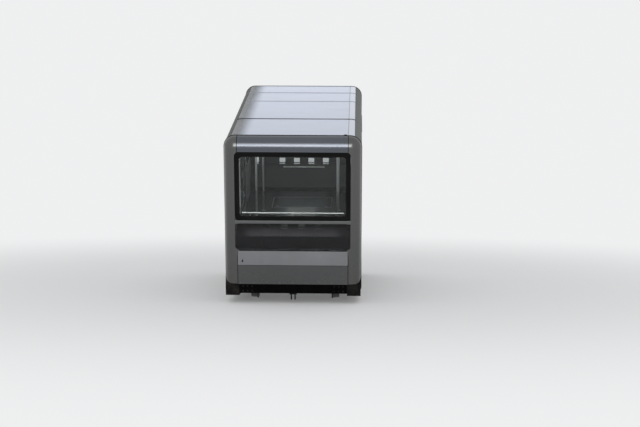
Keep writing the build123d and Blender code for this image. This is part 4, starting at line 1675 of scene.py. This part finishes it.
    def _floor_strip(self) -> None:
        """Lay the ribbed step strip inside the doorway, short of the leaves."""
        piece = Workpiece(f"step_strip_{self.side.tag}", SEAL)
        start, end = (DATUM.inner - inset for inset in self.strip_inset)
        low, high = self.side.span(start, end)
        half, reach = self.door_half, self.door_half - 5 * MM
        piece.block((low, -half, DATUM.floor - SUNK), (high, half, DATUM.floor + 2 * MM))
        for rib in range(self.strip_ribs):
            near = start + 8 * MM + rib * self.strip_pitch
            low, high = self.side.span(near, near + self.strip_rib)
            piece.block((low, -reach, DATUM.floor + 1.5 * MM), (high, reach, DATUM.floor + self.rib_top))
        piece.done(0.7 * MM, 1)


@dataclass
class DoorTrim:
    """The small pieces that ride on one door leaf."""

    side: Side
    end: End
    stile: float = 75 * MM
    corner: float = 60 * MM
    gasket_out: float = 10 * MM
    gasket_in: float = 11 * MM
    nose: float = 2.3 * MM
    nose_length: float = 1.955
    nose_half: float = 14 * MM
    pull_height: float = 0.98
    pull_size: Point = (40 * MM, 150 * MM)
    pull_corner: float = 19 * MM
    pull_rim: float = 6 * MM
    plate_inset: float = 25 * MM
    plate_middle: float = 0.13
    plate_height: float = 0.2
    plate_screws: Tuple[float, ...] = (0.04, 0.35, 0.65, 0.96)
    screw_inset: float = 15 * MM

    def __post_init__(self) -> None:
        """Measure the leaf and its pane."""
        self.name = f"{self.side.tag}_{self.end.tag}"
        self.body = f"door_{self.name}"
        self.low, self.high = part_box(f"door_leaf_{self.name}")
        low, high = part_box(f"door_pane_{self.name}")
        self.middle = ((low.y + high.y) / 2, (low.z + high.z) / 2)
        self.pane = (high.y - low.y, high.z - low.z)
        outer, inner = (self.high.x, self.low.x) if self.side is Side.RIGHT else (self.low.x, self.high.x)
        self.faces = {"outer": (outer, self.side.value), "inner": (inner, -self.side.value)}
        self.edge = min((self.low.y, self.high.y), key=abs)

    def build(self) -> None:
        """Build the leaf's gaskets, nose rubber, finger pulls and kick plates."""
        self._gaskets()
        self._nose()
        self._pulls()
        self._kick_plates()

    def _spans(self, face: str, sunk: float, proud: float) -> List[float]:
        """Return depths along X from under a face to over it, in order."""
        place, way = self.faces[face]
        return sorted((place - way * sunk, place + way * proud))

    def _gaskets(self) -> None:
        """Frame the pane with rubber on both faces."""
        piece = Workpiece(f"door_gasket_{self.name}", SEAL, self.body)
        outer = grown(self.middle, self.pane, self.corner, self.gasket_out)
        inner = grown(self.middle, self.pane, self.corner, -self.gasket_in)
        for face in self.faces:
            piece.prism(Facing.SIDE, outer, *self._spans(face, 3 * MM, 2.2 * MM), hole=inner)
        piece.done(1.0 * MM)

    def _nose(self) -> None:
        """Run the safety rubber down the meeting edge."""
        piece = Workpiece(f"door_nose_{self.name}", SEAL, self.body)
        edge, way = self.edge, -self.end.value
        middle, half = (self.low.x + self.high.x) / 2, self.nose_half
        profile = [
            (middle - half, edge - way * SUNK),
            (middle - half * 0.8, edge + way * self.nose * 0.8),
            (middle, edge + way * self.nose),
            (middle + half * 0.8, edge + way * self.nose * 0.8),
            (middle + half, edge - way * SUNK),
        ]
        piece.prism(Facing.FLAT, profile, self.low.z + 2 * MM, self.low.z + self.nose_length)
        piece.done()

    def _pulls(self) -> None:
        """Let a finger pull into each face of the leaf."""
        piece = Workpiece(f"door_pull_{self.name}", STAINLESS, self.body)
        middle = (self.edge + self.end.value * self.stile / 2, DATUM.floor + self.pull_height)
        width, height = self.pull_size
        outer = rounded(middle, width, height, self.pull_corner, 8)
        inner = rounded(middle, width - 2 * self.pull_rim, height - 2 * self.pull_rim, 13.5 * MM, 8)
        for face in self.faces:
            piece.prism(Facing.SIDE, outer, *self._spans(face, 1 * MM, 1.8 * MM), hole=inner)
            piece.prism(Facing.SIDE, inner, *self._spans(face, 1 * MM, 0.5 * MM))
        piece.done(0.6 * MM)

    def _kick_plates(self) -> None:
        """Fix a kick plate along the leaf's foot on both faces, with its screws."""
        piece = Workpiece(f"door_kick_plate_{self.name}", STAINLESS, self.body)
        low_y, length = self.low.y + self.plate_inset, self.high.y - self.low.y - 2 * self.plate_inset
        middle = (low_y + length / 2, self.low.z + self.plate_middle)
        outline = rounded(middle, length, self.plate_height, 12 * MM, 4)
        for face, (place, way) in self.faces.items():
            piece.prism(Facing.SIDE, outline, *self._spans(face, SUNK, 1.5 * MM))
            for share in self.plate_screws:
                for rise in spaced(2, self.plate_height - 2 * self.screw_inset):
                    spot = (place + way * 1 * MM, low_y + share * length, middle[1] + rise)
                    piece.screw(spot, (way, 0, 0), (5 * MM, 0.8 * MM), (3 * MM, 1.4 * MM), 12)
        piece.done(0.4 * MM, 1)


@dataclass
class ChassisTrim:
    """Fasteners, pipes and pads of the wedge chassis."""

    bolt_size: float = 13 * MM
    bolt_pitch: float = 60 * MM
    sole_bolts: float = 45 * MM
    sole_gap: float = 0.3
    tip_insets: Point = (0.07, 0.16)
    tip_rows: int = 4
    tip_rise: float = 0.14
    tip_step: float = 0.24
    frame_rise: float = 0.145
    cap_drop: float = 12 * MM
    cap_bolts: int = 6
    cap_circle: float = 43 * MM
    pipe_radius: float = 9 * MM
    pipe_inset: float = 0.14
    pipe_drop: float = 18 * MM
    pipe_pitch: float = 27 * MM
    clip_count: int = 12
    clip_inset: float = 0.1
    clip_half: float = 14 * MM
    clip_height: float = 13 * MM
    pad_insets: Point = (0.02, 0.2)
    pad_half: float = 60 * MM
    headstock_drop: float = 0.19
    headstock_rows: Point = (40 * MM, 130 * MM)
    headstock_columns: Tuple[float, ...] = (0.9, 0.82, 0.74)
    post_width: float = 110 * MM
    chord: float = 150 * MM
    first_bay: float = -1.715
    bay_step: float = 0.789
    bay_count: int = 5

    def build(self) -> None:
        """Build the chassis' small pieces."""
        for side in Side:
            self._frame_bolts(side)
            self._pipes(side)
            self._axle_caps(side)
            self._jack_pads(side)
        for end in End:
            self._headstock_bolts(end)

    def _foot(self, y: float) -> float:
        """Return the height of the side frame's lower edge."""
        return DATUM.rail(y) + self.frame_rise

    def _frame_bolts(self, side: Side) -> None:
        """Bolt the lower beams and the sole bar to the side frame's posts."""
        piece = Workpiece(f"frame_bolts_{side.tag}", BOLT)
        face = side.value * (DATUM.half_width - 0.2 * MM)
        axis = (side.value, 0, 0)
        for number in range(self.bay_count + 1):
            y = self.first_bay - self.post_width / 2 + number * self.bay_step
            low = self._foot(y) + self.chord / 2
            for reach in spaced(2, self.bolt_pitch):
                for rise in spaced(2, self.bolt_pitch):
                    piece.bolt((face, y + reach, low + rise), axis, self.bolt_size)
                if DATUM.sole_foot - low > self.sole_gap:
                    piece.bolt((face, y + reach, DATUM.sole_foot - self.sole_bolts), axis, self.bolt_size)
        for row in range(self.tip_rows):
            for inset in self.tip_insets:
                y = DATUM.half_length - inset
                height = self._foot(y) + self.tip_rise + row * self.tip_step
                piece.bolt((face, y, height), axis, self.bolt_size)
        piece.done(0.6 * MM, 1)

    def _axle_caps(self, side: Side) -> None:
        """Cap the bearing housings on the frame's outer face, over the axles."""
        for end in End:
            low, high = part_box(f"wheelset_{end.tag}")
            piece = Workpiece(f"axle_cap_{side.tag}_{end.tag}", CASES)
            y, z = (low.y + high.y) / 2, (low.z + high.z) / 2 - self.cap_drop
            centre = (side.value * (DATUM.half_width - SUNK), y, z)
            profile = [(56 * MM, 0), (56 * MM, 5 * MM), (52 * MM, 7 * MM)]
            profile += [(34 * MM, 7.6 * MM), (31 * MM, 10.5 * MM)]
            piece.turned(centre, (side.value, 0, 0), profile, 40)
            out = centre[0] + side.value * 6.6 * MM
            for first, second in circle((y, z), self.cap_circle, self.cap_bolts):
                piece.bolt((out, first, second), (side.value, 0, 0), 5.5 * MM)
            piece.done(0.6 * MM, 1)

    def _pipes(self, side: Side) -> None:
        """Run two brake pipes along the frame's inner face, in clips."""
        pipes = Workpiece(f"brake_pipes_{side.tag}", PIPE)
        clips = Workpiece(f"pipe_clips_{side.tag}", BOLT)
        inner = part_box(f"side_frame_{side.tag}")
        face = min(abs(inner[0].x), abs(inner[1].x))
        ends = DATUM.half_length - self.pipe_inset
        pitch = 2 * (ends - self.clip_inset) / (self.clip_count - 1)
        x = side.value * (face - self.pipe_radius - 6 * MM)
        low, high = side.span(face + SUNK, face - 32 * MM)
        jaws = (self.pipe_radius + 0.5 * MM, self.clip_height)
        for row in range(2):
            z = DATUM.sole_foot - self.pipe_drop - row * self.pipe_pitch
            pipes.tube([Vector((x, y, z)) for y in (-ends, ends)], self.pipe_radius, 12)
            for y in spaced(self.clip_count, pitch):
                near, far = y - self.clip_half, y + self.clip_half
                clips.block((low, near, z - jaws[1]), (high, far, z - jaws[0]))
                clips.block((low, near, z + jaws[0]), (high, far, z + jaws[1]))
        pipes.done()
        clips.done(1.0 * MM, 1)

    def _jack_pads(self, side: Side) -> None:
        """Weld a jacking pad under the side frame at each end of its bays."""
        piece = Workpiece(f"jack_pads_{side.tag}", CHASSIS)
        low, high = side.span(*(DATUM.half_width - inset for inset in self.pad_insets))
        for bay in (1, self.bay_count - 1):
            y = self.first_bay + self.bay_step * bay
            near, far = y - self.pad_half, y + self.pad_half
            piece.block((low, near, self._foot(far) - 16 * MM), (high, far, self._foot(y) + 10 * MM))
        piece.done(3 * MM)

    def _headstock_bolts(self, end: End) -> None:
        """Bolt the headstock to both side frames through its face."""
        piece = Workpiece(f"headstock_bolts_{end.tag}", CHASSIS)
        low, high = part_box("headstocks")
        face = end.value * (high.y if end is End.DOWNHILL else -low.y)
        base, y = DATUM.skirt - self.headstock_drop, face - end.value * 0.2 * MM
        for side in Side:
            for rise in self.headstock_rows:
                for reach in self.headstock_columns:
                    piece.bolt((side.value * reach, y, base + rise), (0, end.value, 0), self.bolt_size)
        piece.done(0.6 * MM, 1)


@dataclass
class CaseTrim:
    """Lids, latches and vents of the two equipment cases under the floor."""

    half_width: float = 0.65
    between: float = 0.2
    lid_share: float = 0.62
    lid_foot: float = 40 * MM
    lid_inset: float = 70 * MM
    panel_inset: float = 0.17
    latch_pitch: float = 0.26
    vent_drop: float = 45 * MM
    vent_rows: int = 5
    vent_pitch: float = 19 * MM
    vent_share: float = 0.36

    def build(self) -> None:
        """Build the pieces of both cases."""
        low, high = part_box("equipment_cases")
        length = (high.y - low.y - self.between) / 2
        for number, middle in enumerate((low.y + length / 2, high.y - length / 2), 1):
            for side in Side:
                self._lid(number, middle, length, side, low.z, high.z)

    def _lid(self, number: int, middle: float, length: float, side: Side, low: float, high: float) -> None:
        """Build one case's lid, latches and vents on one side.

        Args:
            number: The case's number, from 1.
            middle: Its middle along Y.
            length: Its length along Y.
            side: The side that the lid is on.
            low: The case's foot.
            high: The case's top.
        """
        face = self.half_width
        tag = f"{number}_{side.tag}"
        lid = Workpiece(f"case_lid_{tag}", CASES)
        height = (high - low) * self.lid_share
        centre = (middle, low + self.lid_foot + height / 2)
        outline = rounded(centre, length - self.lid_inset, height, 22 * MM, 5)
        lid.prism(Facing.SIDE, outline, *side.span(face - SUNK, face + 7 * MM))
        panel = rounded(centre, length - self.panel_inset, height - 0.1, 16 * MM, 5)
        lid.prism(Facing.SIDE, panel, *side.span(face, face + 10 * MM))
        lid.done(2.2 * MM)
        latches = Workpiece(f"case_latches_{tag}", STAINLESS)
        z = centre[1] + height / 2 + 2 * MM
        plate, tongue = side.span(face, face + 15 * MM), side.span(face + 14 * MM, face + 19 * MM)
        for reach in spaced(2, self.latch_pitch):
            y = middle + reach
            latches.block((plate[0], y - 15 * MM, z - 34 * MM), (plate[1], y + 15 * MM, z + 10 * MM))
            latches.block((tongue[0], y - 9 * MM, z - 48 * MM), (tongue[1], y + 9 * MM, z - 4 * MM))
        latches.done(1.6 * MM)
        vents = Workpiece(f"case_vents_{tag}", CASES)
        root, lip = side.value * (face - SUNK), side.value * (face + 8 * MM)
        half = length * self.vent_share
        for row in range(self.vent_rows):
            z = high - self.vent_drop - row * self.vent_pitch
            slat = [(root, z), (lip, z - 9 * MM), (lip, z - 6.5 * MM), (root, z + 4 * MM)]
            vents.prism(Facing.END, slat, middle - half, middle + half)
        vents.done(0.7 * MM, 1)


@dataclass
class WheelTrim:
    """Rings and bolts on the hubs of one wheelset, which turn with it."""

    end: End
    bolts: int = 8
    bolt_circle: float = 71 * MM
    flange_play: float = 5.5 * MM
    flange_width: float = 32 * MM
    tread_width: float = 105 * MM
    hub_half: float = 85 * MM
    outer_share: float = 0.98

    def build(self) -> None:
        """Build the hub rings and bolts of both wheels."""
        tag = self.end.tag
        low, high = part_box(f"wheelset_{tag}")
        y, z = (low.y + high.y) / 2, (low.z + high.z) / 2
        flange_face = TRACK_GAUGE / 2 - self.flange_play
        hub_middle = flange_face + (self.tread_width - self.flange_width) / 2
        piece = Workpiece(f"hub_rings_{tag}", CASES, f"wheelset_{tag}")
        for side in Side:
            for way, share in ((1, self.outer_share), (-1, 1.0)):
                base = (side.value * (hub_middle + way * self.hub_half), y, z)
                ring = [(81 * MM, -SUNK), (81 * MM, 5 * MM), (78 * MM, 7 * MM), (63 * MM, 7 * MM)]
                ring = [(radius * share, height) for radius, height in ring]
                piece.turned(base, (side.value * way, 0, 0), ring, 36)
        piece.done(0.6 * MM, 1)
        heads = Workpiece(f"hub_bolts_{tag}", BOLT, f"wheelset_{tag}")
        for side in Side:
            base = side.value * (hub_middle - self.hub_half - 6.8 * MM)
            for first, second in circle((y, z), self.bolt_circle, self.bolts):
                heads.bolt((base, first, second), (-side.value, 0, 0), 6.5 * MM)
        heads.done()


@dataclass
class BrakeTrim:
    """Clamps of the track brakes, with their bolts."""

    clamp_pitch: float = 0.1425
    clamp_count: int = 4
    clamp_half: Point = (36 * MM, 17 * MM)
    shoe_inset: float = 35 * MM
    shoe_top: float = 0.113

    def build(self) -> None:
        """Build the fittings of both shoes."""
        low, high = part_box("track_brakes")
        middle_y = (low.y + high.y) / 2
        for side in Side:
            place = (side.value * (high.x - self.shoe_inset), middle_y, DATUM.rail(middle_y) + self.shoe_top)
            along_rail = Matrix.Translation(place) @ Matrix.Rotation(-TILT, 4, "X")
            piece = Workpiece(f"brake_clamps_{side.tag}", BOLT, within=along_rail)
            across, along = self.clamp_half
            for y in spaced(self.clamp_count, self.clamp_pitch):
                piece.block((-across, y - along, -14 * MM), (across, y + along, -1 * MM))
                if abs(y) > self.clamp_pitch:
                    piece.bolt((0.0, y, -1.3 * MM), (0, 0, 1), 10 * MM)
            piece.done(1.2 * MM, 1)


@dataclass(frozen=True)
class Softbox:
    """A rectangular lamp. Its pitch is its turn about X in degrees, from shining straight down."""

    name: str
    place: Tuple[float, float, float]
    pitch: float
    size: Point
    radiance: float

    def hang(self) -> None:
        """Add the lamp to the scene, out of the camera's own sight."""
        lamp = bpy.data.lights.new(self.name, "AREA")
        lamp.shape = "RECTANGLE"
        lamp.size, lamp.size_y = self.size
        lamp.energy = self.radiance * math.pi * self.size[0] * self.size[1]
        holder = bpy.data.objects.new(self.name, lamp)
        holder.location = self.place
        holder.rotation_euler = (math.radians(self.pitch), 0.0, 0.0)
        holder.visible_camera = False
        bpy.context.scene.collection.objects.link(holder)


SOFTBOXES = (
    Softbox("front_softbox", (-1.0, -34.0, 12.6), 72.0, (16.0, 10.0), 6.0),
    Softbox("upper_softbox", (0.0, -23.0, 15.6), 60.0, (16.0, 6.0), 3.0),
)


@dataclass
class Studio:
    """Pale sloping floor, soft lamps and the camera."""

    floor_half: float = 60.0
    pale: Colour = (0.86, 0.865, 0.87)
    cloth: Colour = (0.83, 0.835, 0.84)
    world_share: float = 0.8
    floor_glow: float = 0.15
    fade_from: float = 5.0
    fade_to: float = 15.0
    camera_place: Tuple[float, float, float] = (1.136, -26.43, 8.68)
    camera_pitch: float = 15.16
    camera_yaw: float = 1.57
    focal_length: float = 78.2
    sensor_width: float = 36.0

    def build(self) -> None:
        """Make the world, floor, lamps and camera."""
        self._world()
        self._floor()
        for softbox in SOFTBOXES:
            softbox.hang()
        self._camera()

    def _world(self) -> None:
        """Make a pale surround that lights the object less than it shows."""
        world = bpy.data.worlds.new("studio")
        bpy.context.scene.world = world
        world.use_nodes = True
        kit = ShaderKit("studio", world.node_tree)
        seen = [
            kit.node("ShaderNodeLightPath", output=name)
            for name in ("Is Camera Ray", "Is Glossy Ray", "Is Transmission Ray")
        ]
        shown = (seen[0] + seen[1] + seen[2]).clamp()
        values = {"Color": (*self.pale, 1.0), "Strength": self.world_share + (1.0 - self.world_share) * shown}
        background = kit.node("ShaderNodeBackground", {}, values)
        kit.node("ShaderNodeOutputWorld", {}, {"Surface": background})

    def _floor(self) -> None:
        """Make the floor: a plane along the track's slope that fades into the surround."""
        mesh = bpy.data.meshes.new("studio_floor")
        half = self.floor_half
        corners = [
            (x, y, -TRACK_SLOPE * y) for x, y in ((-half, -half), (half, -half), (half, half), (-half, half))
        ]
        mesh.from_pydata(corners, [], [(0, 1, 2, 3)])
        floor = bpy.data.objects.new("studio_floor", mesh)
        bpy.context.scene.collection.objects.link(floor)
        kit = ShaderKit("studio_floor")
        place = kit.position()
        across, along = kit.axis(place, "X"), kit.axis(place, "Y")
        away = ((across * across + along * along) ** 0.5).step(self.fade_from, self.fade_to)
        far = self.floor_glow + (1.0 - self.floor_glow) * away
        cloth = kit.principled({"Base Color": (*self.cloth, 1.0), "Roughness": 0.9})
        glow = kit.node("ShaderNodeEmission", {}, {"Color": (*self.pale, 1.0)})
        shown = kit.node("ShaderNodeMixShader", {}, {0: far, 1: cloth, 2: glow})
        below = kit.node("ShaderNodeNewGeometry", output="Backfacing")
        clear = kit.node("ShaderNodeBsdfTransparent")
        mesh.materials.append(kit.finish(kit.node("ShaderNodeMixShader", {}, {0: below, 1: shown, 2: clear})))

    def _camera(self) -> None:
        """Set the camera where the photograph was taken."""
        lens = bpy.data.cameras.new("camera")
        lens.lens = self.focal_length
        lens.sensor_width = self.sensor_width
        lens.clip_end = 400.0
        camera = bpy.data.objects.new("camera", lens)
        camera.location = self.camera_place
        turn = (math.radians(90.0 - self.camera_pitch), 0.0, math.radians(self.camera_yaw))
        camera.rotation_euler = turn
        bpy.context.scene.collection.objects.link(camera)
        bpy.context.scene.camera = camera


def main() -> None:
    """Dress the nodes, build the small pieces and set up the studio."""
    logging.basicConfig(level=logging.INFO, format="%(name)s: %(message)s")
    bpy.context.scene.view_settings.view_transform = "Standard"
    dress_cad_nodes()
    for end in End:
        EndTrim(end).build()
        CabTrim(end).build()
        WheelTrim(end).build()
    for side in Side:
        SideTrim(side).build()
        for end in End:
            DoorTrim(side, end).build()
    SeamSealant().build()
    RoofTrim().build()
    ChassisTrim().build()
    CaseTrim().build()
    BrakeTrim().build()
    Studio().build()


if __name__ == "__main__":
    main()
